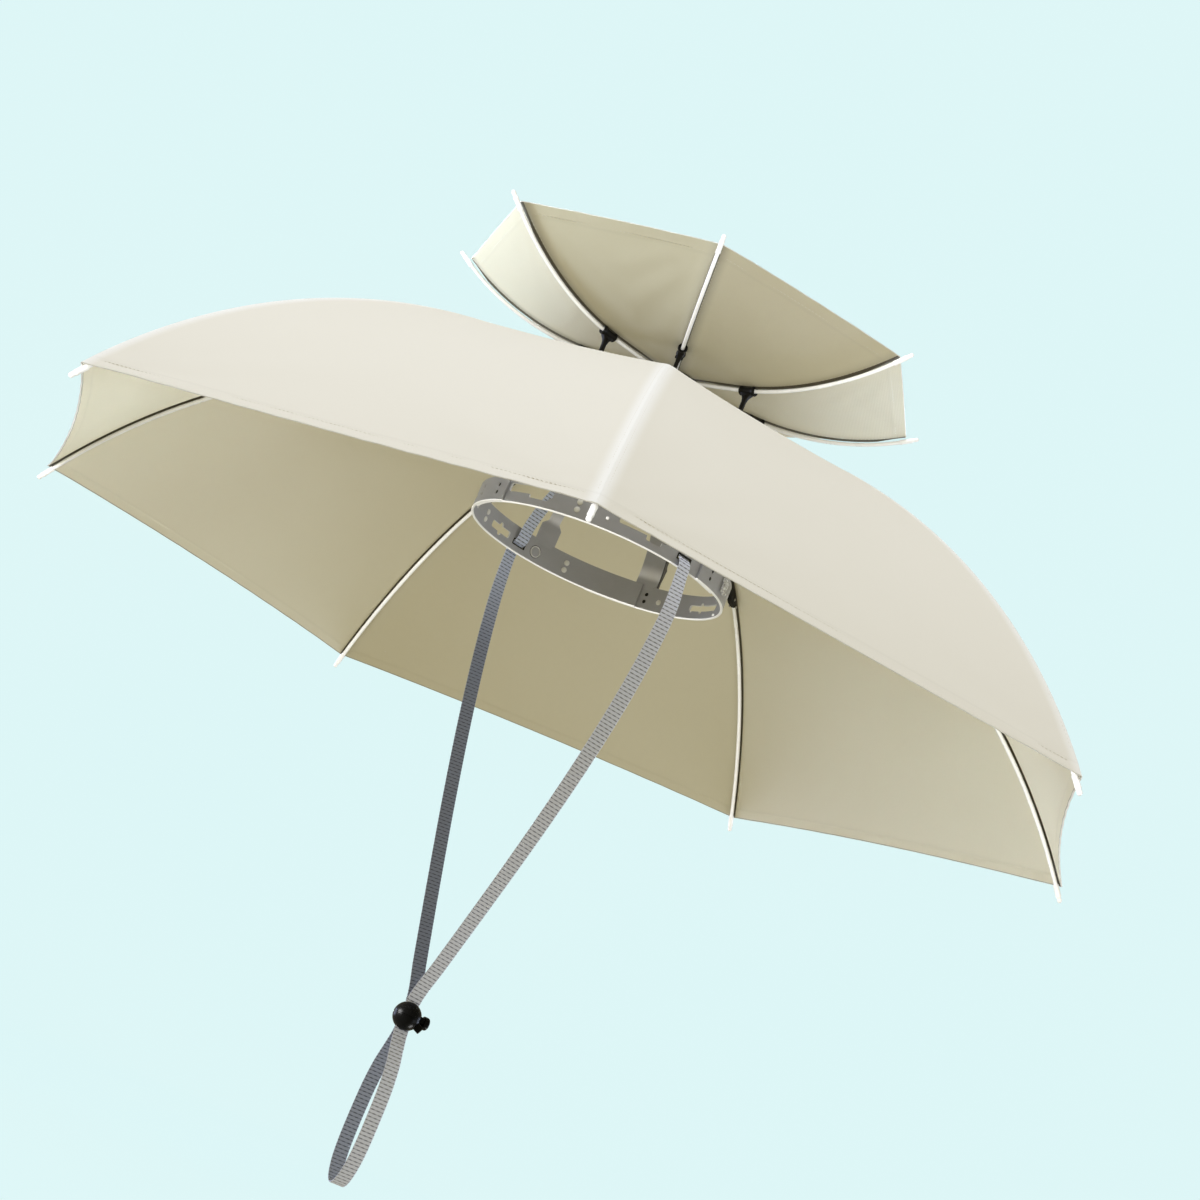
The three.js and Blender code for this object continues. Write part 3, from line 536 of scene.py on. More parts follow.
def gore_cloth(name, finishes, surface, width_at, length, columns, rows, hems, face, tension, fin, seam_shadow_width,
               seed):
    """A canopy sewn from gores: seams along the ridges, a folded hem, and the creases that tension draws.
    face is 1 where the seen surface is the upper one and -1 where it is the lower one. fin is how far
    the seam's turned edges stand out underneath, down to the rod, and the next argument half the width of
    the painted shadow along each seam underneath."""
    draw = random.Random(seed)
    inner_hem, outer_hem = hems
    past_hem = HEM_STEPS[-1] * 1.6 if inner_hem else length / rows
    runs = sorted({*(HEM_STEPS if inner_hem else [0.0]), *(length - s for s in HEM_STEPS),
                   *np.linspace(past_hem, length - 0.016, rows)})
    inside = np.linspace(0, 1, columns + 2)[1:-1]
    grid, across, from_seam = [], [], []
    for k in range(RIBS):
        gore_columns = [("left", s) for s in SEAM_STEPS] + [("share", t) for t in inside] + [
            ("right", s) for s in reversed(SEAM_STEPS[1:])]
        for kind, value in gore_columns:
            column, places, distances = [], [], []
            for run in runs:
                width = width_at(run)
                margin = min(SEAM_STEPS[-1] * 1.3, width * 0.3)
                near = value * min(1.0, width * 0.28 / SEAM_STEPS[-1]) if kind != "share" else 0
                s = {"left": near, "right": width - near,
                     "share": margin + (width - 2 * margin) * value}[kind]
                column.append(surface(k, s / width, run))
                places.append(s - width / 2)
                distances.append(min(s, width - s))
            grid.append(column)
            across.append(places)
            from_seam.append(distances)
    grid = np.array([[tuple(p) for p in column] for column in grid])
    across, from_seam = np.array(across), np.array(from_seam)
    runs = np.array(runs)
    along = np.broadcast_to(runs, across.shape)
    from_hem = length - along
    tangent_along = np.gradient(grid, axis=1)
    tangent_across = np.roll(grid, -1, 0) - np.roll(grid, 1, 0)
    normal = np.cross(tangent_along, tangent_across)
    normal /= np.linalg.norm(normal, axis=2, keepdims=True)
    normal *= np.sign(normal[..., 2:3])
    # Creases: short puckers at the seams, long pulls from each corner, and a slow unevenness
    gore = np.repeat(np.arange(RIBS), len(grid) // RIBS)[:, None]
    phase = np.array([draw.uniform(0, 6.28) for _ in range(RIBS)])[gore]
    pitch = np.array([draw.uniform(0.013, 0.019) for _ in range(RIBS)])[gore]
    pucker = np.sin(along * 2 * np.pi / pitch + phase) * np.sin(along * 2 * np.pi / 0.047 + 2 * phase)
    lift = 0.28 * MM * pucker * np.exp(-from_seam / 0.012) * step(from_seam, 0.0035, 0.005)
    half = np.abs(across)
    corner_away = np.hypot(from_seam, from_hem)
    heading = np.arctan2(from_seam, from_hem + 1e-6)
    pulls = np.sin(heading * 13 + phase * np.sign(across)) * np.exp(-corner_away / 0.085)
    lift += tension * pulls * np.clip(from_seam / 0.02, 0, 1) * np.clip(corner_away / 0.03, 0, 1)
    slow = np.sin(across * 19 + phase) * np.sin(along * 15 + 1.7 * phase)
    lift += 0.9 * tension * slow * np.clip(from_seam / 0.05, 0, 1) * np.clip(from_hem / 0.04, 0, 1)
    wave = np.sin(across * 2 * np.pi / 0.031 + phase)
    lift += 0.22 * MM * wave * np.exp(-from_hem / 0.01) * np.clip(half / 0.02, 0, 1)
    # Relief of the seam, its allowances and the folded hem
    seam_line = 1 - step(from_seam, 0.9 * MM, 0.8 * MM)
    allowance = 1 - step(from_seam, 5.7 * MM, 0.9 * MM)
    folded = (1 - step(from_hem, 8.1 * MM, 0.6 * MM)) * outer_hem
    stitched = np.exp(-((from_hem - HEM_ROW) / (0.45 * MM)) ** 2) * outer_hem
    if inner_hem:
        folded += 1 - step(along, 8.1 * MM, 0.6 * MM)
        stitched += np.exp(-((along - HEM_ROW) / (0.45 * MM)) ** 2)
    seen = lift - 0.12 * MM * seam_line + 0.1 * MM * allowance - 0.06 * MM * stitched
    thick = CLOTH_THICK + 0.3 * MM * np.maximum(allowance, folded) - 0.05 * MM * stitched
    turned_edges = (fin * (1 - step(from_seam, 0.7 * MM, 0.5 * MM))
                    * step(from_hem, 0.016, 0.012) * step(along, 0.03, 0.02))
    thick = thick + turned_edges
    if face < 0:
        seen = seen + turned_edges
    rim = np.clip(from_hem / HEM_EDGE, 0, 1)
    if inner_hem:
        rim = np.minimum(rim, np.clip(along / HEM_EDGE, 0, 1))
    thick = thick * (0.35 + 0.65 * np.sqrt(rim))
    top = grid + normal * (face * seen)[..., None]
    back = grid + normal * (face * (seen - thick))[..., None]
    rings = np.concatenate([top, back[:, ::-1]], axis=1)
    count, n = rings.shape[:2]
    points = rings.reshape(-1, 3)
    last = len(runs) - 1
    faces, kinds = [], []
    for i in range(count):
        a, b = i * n, ((i + 1) % count) * n
        for j in range(n):
            m = (j + 1) % n
            quad = (a + j, a + m, b + m, b + j)
            faces.append(quad if face < 0 else quad[::-1])
            if j in (last, 2 * last + 1):
                kinds.append(2)
                continue
            outside = j < last
            row = j if outside else 2 * last - j
            seam = max(from_seam[i, row], from_seam[(i + 1) % count, row])
            rim_far = max(from_hem[i, row], from_hem[i, row + 1])
            under = outside == (face < 0)
            # Underneath, faces close to a seam take the painted seam shadow.
            in_seam_shadow, in_hem_shade = under and seam < seam_shadow_width, under and HEM_EDGE < rim_far < 1.3 * MM
            # A thin strip just inside the hem's edge underneath takes the painted hem shade.
            kinds.append(2 if rim_far < HEM_EDGE else 3 if in_seam_shadow else 4 if in_hem_shade else 0 if outside else 1)
    # Both faces of the cloth carry the same places
    from_edge = np.minimum(from_hem, along) if inner_hem else from_hem
    uv = {layer: np.stack([np.concatenate([d, d[:, ::-1]], axis=1).ravel() for d in pair], 1)
          for layer, pair in (("cloth", (across, along)), ("edges", (from_seam, from_edge)))}
    area = np.linalg.norm(np.cross(
        top[:, 1:] - top[:, :-1], np.roll(top, -1, 0)[:, :-1] - top[:, :-1]), axis=2).sum()
    piece = place(name, points, faces, finishes, uv=uv, kinds=kinds)
    return piece, area


lower_cloth, lower_area = gore_cloth(
    "canopy_cloth", [CREAM, CREAM_UNDER, HEM, SEAM_SHADOW, HEM_SHADE_LINE], canopy_point, canopy_width, RIDGE_LENGTH,
    columns=22, rows=42, hems=(True, True), face=1, tension=0.8 * MM, fin=1.5 * MM, seam_shadow_width=3.1 * MM, seed=4)
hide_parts("lower_canopy")
bowl_cloth, bowl_area = gore_cloth(
    "bowl_cloth", [BOWL_UNDER, BOWL_INSIDE, HEM, SEAM_SHADOW, BOWL_UNDER], bowl_point, bowl_width, BOWL_RUN,
    columns=14, rows=34, hems=(False, True), face=-1, tension=0.5 * MM, fin=1.1 * MM, seam_shadow_width=2.2 * MM, seed=9)
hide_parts("upper_canopy")


def stitches(name, lines, normal_of, pitch=3.2 * MM, length=2.3 * MM, radius=0.2 * MM, slot="canopy_cloth"):
    """Rows of thread stitches, each a short spindle laid along its line."""
    parts = Parts()
    for line in lines:
        spans = [(b - a).length for a, b in zip(line, line[1:])]
        total, placed = sum(spans), 0.5 * pitch
        i, passed = 0, 0.0
        while placed < total - length:
            while passed + spans[i] < placed:
                passed += spans[i]
                i += 1
            a, b = line[i], line[i + 1]
            middle = a.lerp(b, (placed - passed) / spans[i])
            along = (b - a).normalized()
            out = normal_of(middle, along)
            side = along.cross(out)
            ring = [(side * math.cos(t) + out * math.sin(t)) * radius for t in (0.4, 1.97, 3.54, 5.11)]
            sunk = out * radius * 0.8
            parts.loft([[middle - along * length / 2 + r * 0.25 - sunk for r in ring],
                        [middle - along * length * 0.25 + r for r in ring],
                        [middle + along * length * 0.25 + r for r in ring],
                        [middle + along * length / 2 + r * 0.25 - sunk for r in ring]])
            placed += pitch
    return parts.place(name, THREAD, slot=slot)


def outward(point, along):
    """Away from the canopy's inside, square to a line on it."""
    up = Vector((point.x, point.y, 0)).normalized() * 0.45 + Vector((0, 0, 1))
    return (up - along * up.dot(along)).normalized()


def downward(point, along):
    down = Vector((point.x, point.y, 0)).normalized() * 0.25 - Vector((0, 0, 1))
    return (down - along * down.dot(along)).normalized()


def across_line(surface, width_at, k, run, margin, count=26):
    width = width_at(run)
    return [surface(k, mix(margin / width, 1 - margin / width, i / (count - 1)), run) for i in range(count)]


def along_line(surface, width_at, k, offset, low, high, count=30):
    runs = [mix(low, high, i / (count - 1)) for i in range(count)]
    return [surface(k, offset / width_at(r) if offset > 0 else 1 + offset / width_at(r), r) for r in runs]


def sewn_lines(surface, width_at, length, hem_rows, seam_from):
    """The rows of stitches of one canopy: along its hems, and on both sides of each seam."""
    return [*(across_line(surface, width_at, k, run, 7 * MM) for k in range(RIBS) for run in hem_rows),
            *(along_line(surface, width_at, k, side * SEAM_ROW, seam_from, length - 10 * MM)
              for k in range(RIBS) for side in (1, -1))]


stitches("canopy_stitching", sewn_lines(
    canopy_point, canopy_width, RIDGE_LENGTH, (RIDGE_LENGTH - HEM_ROW, HEM_ROW), 10 * MM), outward)
stitches("bowl_stitching", sewn_lines(
    bowl_point, bowl_width, BOWL_RUN, (BOWL_RUN - HEM_ROW,), 30 * MM), downward, slot="bowl_cloth")

# Ribs: rods, end caps, inner arms and struts

CLEAR, FACET = 0.3 * MM, 0.5 * MM
JOINT_RADIUS, KNUCKLE_LENGTH, KNUCKLE_SIDE, BAR_SIDE = 262 * MM, 15 * MM, 6.5 * MM, 5.5 * MM
STAND_OFF = 1.5 * MM
CLIP_RADIUS = 72 * MM


def under_ridge(half_width, steepness):
    return WALL + CLEAR + FACET + half_width * math.tan(HALF_GORE) * steepness


ROD_DEPTH = ROD_RADIUS + under_ridge(ROD_RADIUS, math.cos(RIDGE_LOW))
BAR_DEPTH = KNUCKLE_SIDE / 2 + under_ridge(KNUCKLE_SIDE / 2, math.cos(ridge_angle_at(JOINT_RADIUS)))
UPPER_ROD_DEPTH = ROD_RADIUS + CLEAR + FACET + ROD_RADIUS * math.tan(HALF_GORE) * math.sin(
    bowl_slope(BOWL_RADIUS))
HUB_RADIUS, HUB_HEIGHT = 27 * MM, 10 * MM
hub_bottom = on_ridge(ridge_angle_at(HUB_RADIUS), BAR_DEPTH).y - HUB_HEIGHT / 2
UP = Vector((0, 0, 1))


def end_cap(end, heading, girth, inward, length):
    """White moulded cap: a sleeve round the rod's end and a slimmer rounded nose. girth is the sleeve's
    outer radius, inward how far the sleeve reaches back over the rod, length the whole cap, all in mm."""
    profile = [(girth * share, z) for share, z in (
        (0.05, 8), (0.76, 8), (0.78, 0.1), (0.82, 0), (0.95, 0.05), (1, 0.5), (1, 1.6), (0.95, 1.9),
        (0.95, length * 0.55), (1, length * 0.58), (0.98, length * 0.64), (0.8, length * 0.7),
        (0.76, length * 0.76), (0.84, length * 0.84), (0.8, length * 0.92), (0.6, length * 0.97),
        (0.3, length * 0.995), (0.03, length))]
    direction = in_plane(heading)
    turn = direction.to_track_quat("Z", "Y").to_matrix().to_4x4()
    move = Matrix.Translation(in_plane(end) + direction * (STAND_OFF - inward * MM))
    return Parts().turned(in_mm(profile), 20, move @ turn)


def rounded(width, height, corner, steps=3):
    """Outline of a rectangle with round corners, as side and rise pairs."""
    outline = []
    for quarter, (sx, sy) in enumerate(((1, 1), (-1, 1), (-1, -1), (1, -1))):
        for i in range(steps + 1):
            t = math.pi / 2 * (quarter + i / steps)
            outline.append((sx * (width / 2 - corner) + corner * math.cos(t),
                            sy * (height / 2 - corner) + corner * math.sin(t)))
    return outline


def bar_along(line, outlines):
    """A bar in the plane of a rib: an outline of side and rise pairs at each point of a line."""
    rings = []
    for i, (point, outline) in enumerate(zip(line, outlines)):
        along = heading_at(line, i)
        above = Vector((-along.y, along.x))
        if above.y < 0:
            above = -above
        rings.append([off_line(point, above, side, rise) for side, rise in outline])
    return Parts().loft(rings)


def inner_arm():
    """Black arm: a bar with a channel in its underside, that swells into the knuckle round the white rod."""
    joint, start = ridge_angle_at(JOINT_RADIUS), ridge_angle_at(HUB_RADIUS + 2 * CLEAR)
    half = KNUCKLE_LENGTH / 2 / RIDGE_ARC
    stations = [(mix(start, joint + half * 1.15, i / 26), BAR_SIDE, 1.5 * MM) for i in range(27)]
    stations += [(joint + half, 5.9 * MM, 1.2 * MM), (joint + half * 0.8, KNUCKLE_SIDE * 0.95, 0.2 * MM),
                 (joint + half * 0.2, KNUCKLE_SIDE * 0.9, 0), (joint - half * 0.2, 5.2 * MM, 0),
                 (joint - half * 0.5, 4.5 * MM, 0), (joint - half * 0.62, 4.4 * MM, 0)]
    line, outlines = [], []
    for angle, side, groove in stations:
        depth = mix(BAR_DEPTH, ROD_DEPTH, min(1, max(0, (joint - angle) / (half * 0.6))))
        line.append(on_ridge(angle, depth))
        outline = rounded(side, side, side * (0.18 if angle > joint else 0.34), 3)
        low = -side / 2
        foot = [(-0.3 * side, low), (-0.24 * side, low + groove), (0.24 * side, low + groove),
                (0.3 * side, low)]
        outlines.append(outline[:12] + foot + outline[12:])
    return bar_along(line, outlines)


def spring_clip():
    """Black clip under a bowl rod: a cradle with a claw at each corner, a pinned neck, and an arm
    that stands astride the inner arm."""
    slope = bowl_slope(CLIP_RADIUS)
    rod = Vector((CLIP_RADIUS, 0, bowl_height(CLIP_RADIUS) - UPPER_ROD_DEPTH * math.cos(slope)))
    tilt = Matrix.Translation(rod) @ Matrix.Rotation(-slope, 4, "Y")
    foot_top = on_ridge(ridge_angle_at(CLIP_RADIUS), BAR_DEPTH).y + BAR_SIDE / 2 + CLEAR
    clip = Parts()
    rings = []
    for x, lift, grow in ((-6.6, 50, 0.3), (-6.2, 58, 0.6), (-4.6, 54, 0.45), (-4.1, 34, 0.1), (-3.6, 30, 0),
                          (3.6, 30, 0), (4.1, 34, 0.1), (4.6, 54, 0.45), (6.2, 58, 0.6), (6.6, 50, 0.3)):
        turns = [math.radians(mix(lift, -180 - lift, i / 12)) for i in range(13)]
        outer, inner = (3.15 + grow) * MM, 2.05 * MM
        rings.append([tilt @ Vector((x * MM, radius * math.cos(t), radius * math.sin(t)))
                      for radius, arc in ((outer, turns), (inner, turns[::-1])) for t in arc])
    clip.loft(rings)
    low = rod.z - foot_top
    neck = ((2.6, 9.6, 5.2), (4.0, 8.2, 4.6), (5.4, 5.6, 4.2), (7.2, 4.2, 3.6), (8.4, 3.9, 3.4))
    clip.loft([[rod + Vector((a, b, -drop * MM)) for a, b in rounded(x * MM, y * MM, 0.9 * MM)]
               for drop, x, y in neck])
    drops = [8.2 * MM, 9.2 * MM, mix(9.2 * MM, low, 0.45), mix(9.2 * MM, low, 0.55), low - 3.6 * MM,
             low - 3.0 * MM]
    widths = [(3.9, 3.4), (3.4, 3.0), (3.3, 2.9), (3.5, 3.1), (3.6, 3.2), (5.4, 5.2)]
    clip.loft([[rod + Vector((a, b, -drop)) for a, b in rounded(x * MM, y * MM, 0.8 * MM)]
               for drop, (x, y) in zip(drops, widths)])
    seat = Vector((CLIP_RADIUS, 0, foot_top))
    clip.loft([[seat + Vector((a, b, z * MM)) for a, b in rounded(x * MM, y * MM, 1.1 * MM)]
               for z, x, y in ((0, 8, 8), (2.6, 8, 8), (3.4, 7, 7), (3.8, 5.6, 5.6))])
    for side in (1, -1):
        clip.loft([[seat + Vector((a, side * 3.55 * MM + b, z * MM))
                    for a, b in rounded(x * MM, 0.9 * MM, 0.3 * MM)]
                   for z, x in ((0.6, 8), (-2.8, 7.6), (-3.9, 5.6))])
    pin = Matrix.Rotation(math.pi / 2, 4, "X")
    clip.turned(in_mm(((0.4, -3.1), (1.1, -3.0), (1.3, -2.6), (1.3, 2.6), (1.1, 3.0), (0.4, 3.1))),
                14, Matrix.Translation(rod - UP * 5.6 * MM) @ pin)
    return clip


def rod_along(line, radius):
    return Parts().tube([in_plane(p) for p in line], radius, 16)


def rib_set(k):
    """Everything on one rib, made in the plane of +X and turned to the rib's azimuth."""
    def fit(parts, name, finish, slot, sharp=None, node=None):
        parts.turn_about_axis(rib_azimuth(k)).place(
            "%s_%d" % (name, k + 1), finish, slot=slot, sharp=sharp,
            replaced=["%s_%d" % (node, k + 1)] if node else ())

    start = ridge_angle_at(JOINT_RADIUS) - KNUCKLE_LENGTH * 0.28 / RIDGE_ARC
    line = [on_ridge(mix(start, RIDGE_LOW, i / 24), ROD_DEPTH) for i in range(25)]
    heading = Vector((math.sin(RIDGE_LOW), -math.cos(RIDGE_LOW)))
    end = line[-1]
    fit(rod_along(line + [end + heading * 1.5 * MM], ROD_RADIUS * 0.85),
        "outer_rod", WHITE_ROD, "rod_white", 50, "lower_rib")
    fit(end_cap(end, heading, 2.25, 4.5, 14.5), "outer_cap", WHITE_CAP, "tip_white", 60, "lower_tip")

    stations = [mix(BOWL_FLAT, BOWL_RADIUS, i / 18) for i in range(19)]
    line = [Vector((20.4 * MM, BOWL_FLOOR - UPPER_ROD_DEPTH))]
    line += [Vector((x + UPPER_ROD_DEPTH * math.sin(bowl_slope(x)),
                     bowl_height(x) - UPPER_ROD_DEPTH * math.cos(bowl_slope(x)))) for x in stations]
    slope = bowl_slope(BOWL_RADIUS)
    fit(rod_along(line, ROD_RADIUS * 0.76), "bowl_rod", WHITE_ROD, "rod_white", 50, "upper_rib")
    fit(end_cap(line[-1], Vector((math.cos(slope), math.sin(slope))), 1.95, 7.5, 16),
        "bowl_cap", WHITE_CAP, "tip_white", 60, "upper_tip")

    fit(inner_arm(), "arm", BLACK, "arm_black", 40, "inner_arm")
    fit(spring_clip(), "spring_clip", BLACK, "arm_black", 40, "strut")
    rivets = Parts()
    for shift in (-0.3, 0.3):
        at = in_plane(on_ridge(ridge_angle_at(JOINT_RADIUS) + shift * KNUCKLE_LENGTH / RIDGE_ARC, BAR_DEPTH))
        for side in (1, -1):
            turn = Matrix.Translation(at + Vector((0, side * KNUCKLE_SIDE * 0.47, 0))) @ Matrix.Rotation(
                -side * math.pi / 2, 4, "X")
            rivets.turned(in_mm(((1.1, -0.3), (1.25, 0.1), (1.0, 0.45), (0.3, 0.6))), 12, turn)
    fit(rivets, "knuckle_rivets", METAL, "arm_black")


for k in range(RIBS):
    rib_set(k)

# Hubs, post and cap


def make_hubs():
    low = Parts().turned(in_mm((
        (5.4, 0.4), (6, 0), (11, 0), (11.4, 0.8), (19, 0.8), (19.4, 0), (26.2, 0), (27, 0.8), (27, 4.2),
        (26.4, 5), (27, 5.8), (27, 9.2), (26.2, 10), (19, 10), (18, 9.2), (9, 9.2), (8, 10), (5.4, 10)),
        hub_bottom), 84)
    clevis = Parts()
    for side in (1, -1):
        clevis.block((23 * MM, side * 3.9 * MM - 0.7 * MM, hub_bottom + 1.6 * MM),
                     (31 * MM, side * 3.9 * MM + 0.7 * MM, hub_bottom + 8.4 * MM))
    pin = Matrix.Translation((29 * MM, 0, hub_bottom + 5 * MM)) @ Matrix.Rotation(math.pi / 2, 4, "X")
    clevis.turned(in_mm(((0.3, -5.1), (1.2, -5), (1.2, 5), (0.3, 5.1))), 12, pin)
    for k in range(RIBS):
        low.add(Parts().add(clevis).turn_about_axis(rib_azimuth(k)))
    low.place("crown_hub", BLACK, slot="arm_black", replaced=["lower_hub"], sharp=35)
    high = Parts().turned(in_mm((
        (5.4, -7), (8.4, -7), (8.8, -6.4), (16, -6.4), (17, -7), (19.4, -7), (20, -6.4), (20, -4.4),
        (19.5, -4), (20, -3.6), (20, -0.6), (19.4, 0), (5.4, 0)), BOWL_FLOOR - CLEAR), 72)
    high.place("bowl_hub", BLACK, slot="arm_black", replaced=["upper_hub"], sharp=35)
    cap_bottom = BOWL_FLOOR + WALL + CLEAR
    post = Parts().turned([(r * MM, z) for r, z in (
        (0.1, hub_bottom), (4.2, hub_bottom), (5, hub_bottom + 0.8 * MM), (5, hub_bottom + 16 * MM),
        (4.6, hub_bottom + 16.6 * MM), (4.6, hub_bottom + 18 * MM), (5, hub_bottom + 18.6 * MM),
        (5, cap_bottom - CLEAR), (0.1, cap_bottom - CLEAR))], 40)
    post.place("post", METAL, slot="cap_metal", replaced=["centre_post"], sharp=35)
    cap = Parts().turned(in_mm((
        (1, 0), (11.4, 0), (11.9, 0.4), (12, 1.2), (11.7, 2), (10.6, 2.7), (9.2, 3.05), (8.8, 2.85),
        (8.4, 3.1), (6.2, 3.6), (4.9, 3.9), (4.4, 4.4), (4.2, 5.6), (3.7, 7.4), (3.1, 9), (2.3, 10.2),
        (1.2, 10.85), (0.1, 11)), cap_bottom), 48)
    cap.place("post_cap", METAL, slot="cap_metal", replaced=["top_cap"], sharp=50)


# Head band: three moulded strips with windows, studs and holes, each with a leg up to the hub

LEG_RISE, LEG_END = 5 * MM, 12 * MM
CUT_REACH = 7 * MM
EDGE_HEIGHT, EDGING_REACH = 1.1 * MM, 0.15 * MM
LIP_OUTLINE = ((-0.7, 0), (0.7, 0), (1, 0.3), (1, 0.8), (0.7, 1), (-0.7, 1), (-1, 0.8), (-1, 0.3))
BUTTON_AZIMUTH, BUTTON_HEIGHT = 120.3, 9.2 * MM


def smooth_share(value, low, high):
    share = min(1.0, max(0.0, (value - low) / (high - low)))
    return share * share * (3 - 2 * share)


def cut(piece, tools):
    """Takes the tools out of a piece for good."""
    for tool in tools:
        carve = piece.modifiers.new("cut", "BOOLEAN")
        carve.operation, carve.object, carve.solver = "DIFFERENCE", tool, "EXACT"
        carve.material_mode = "TRANSFER"
    bpy.context.view_layer.update()
    shape = bpy.data.meshes.new_from_object(piece.evaluated_get(bpy.context.evaluated_depsgraph_get()))
    piece.modifiers.clear()
    piece.data = shape
    for tool in tools:
        bpy.data.objects.remove(tool)
    return piece


def tool_piece(parts, finish=CUT_EDGE_HIGHLIGHT):
    """A shape that is only there to be cut out. The cut's faces take its finish."""
    mesh = bpy.data.meshes.new("tool")
    mesh.from_pydata([tuple(p) for p in parts.points], [], parts.faces)
    mesh.materials.append(finish.material)
    tool = bpy.data.objects.new("tool", mesh)
    scene.collection.objects.link(tool)
    return tool


def outward_peg(inner, outer, azimuth, z, radius, sides=20, ends=0.0):
    """A round peg that points out from the axis; ends rounds off its rims."""
    profile = [(radius, inner + ends), (radius, outer - ends)]
    if ends:
        profile = [(radius * 0.05, inner), (radius - ends, inner), *profile, (radius - ends, outer),
                   (radius * 0.05, outer)]
    return Parts().turned(profile, sides, pointing_out(azimuth, 0, z))


def window_tools(middle, start, end, low, high, lobes):
    """A slot with round corners through a strip, with lobes where the head of a peg passes."""
    half = middle * math.sin(math.radians(end - start) / 2)
    outline = rounded(2 * half, (high - low) * MM, 1.5 * MM, 5)
    turn = Matrix.Rotation(math.radians((start + end) / 2), 4, "Z")
    window = Parts().loft([[turn @ Vector((radius, side, (low + high) / 2 * MM + rise))
                            for side, rise in outline]
                           for radius in (middle - CUT_REACH, middle + CUT_REACH)])
    return [window, *(outward_peg(middle - CUT_REACH, middle + CUT_REACH, azimuth, z * MM, radius * MM, 18)
                      for azimuth, z, radius in lobes)]


def crown_leg(foot, widths, flange):
    """A plate that stands on a strip's top edge and bends over to the underside of the hub. widths are
    pairs of height and width in mm, and flange pairs of height and depth of the rim on one side."""
    top = hub_bottom - CLEAR - BAND_WALL / 2
    line = [Vector((foot, z * MM)) for z in (16.8, 19, 22, 25)]
    for i in range(1, 33):
        turn = math.pi / 2 * i / 32
        line.append(Vector((mix(LEG_END, foot, math.cos(turn) ** 1.3),
                            mix(BAND_HEIGHT + LEG_RISE, top, math.sin(turn)))))
    heights, spans = zip(*widths)
    rings, sides = [], []
    for i, point in enumerate(line):
        half = float(np.interp(point.y / MM, heights, spans)) / 2 * MM
        along = heading_at(line, i)
        out = Vector((along.y, -along.x))
        rings.append([
            off_line(point, out, side * (half - inset * MM), rise * BAND_WALL / 2 - dish * 0.25 * MM)
            for side, inset, rise, dish in (
                (-1, 0, -0.55, 0), (-1, 0.3, -1, 0), (-1, 1.8, -1, 0), (-1, 2.3, -1, 1),
                (1, 2.3, -1, 1), (1, 1.8, -1, 0), (1, 0.3, -1, 0), (1, 0, -0.55, 0), (1, 0, 0.55, 0),
                (1, 0.3, 1, 0), (1, 1.8, 1, 0), (-1, 1.8, 1, 0), (-1, 0.3, 1, 0), (-1, 0, 0.55, 0))])
        sides.append((half, out))
    leg, rim = Parts().loft(rings), Parts()
    if flange:
        levels, depths = zip(*flange)
        rings = []
        for level in np.linspace(levels[0], levels[-1], 26):
            half, out = sides[min(range(len(line)), key=lambda n: abs(line[n].y / MM - level))]
            deep = float(np.interp(level, levels, depths)) * MM
            at = float(np.interp(level * MM, [p.y for p in line], [p.x for p in line]))
            foot_at = Vector((at, level * MM))
            near, far, back = half - 0.1 * MM, half + 1.0 * MM, -0.2 * MM
            rings.append([off_line(foot_at, out, -side, rise)
                          for side, rise in ((near, back), (near, deep), (far, deep), (far, back))])
        rim.loft(rings)
    return leg, rim


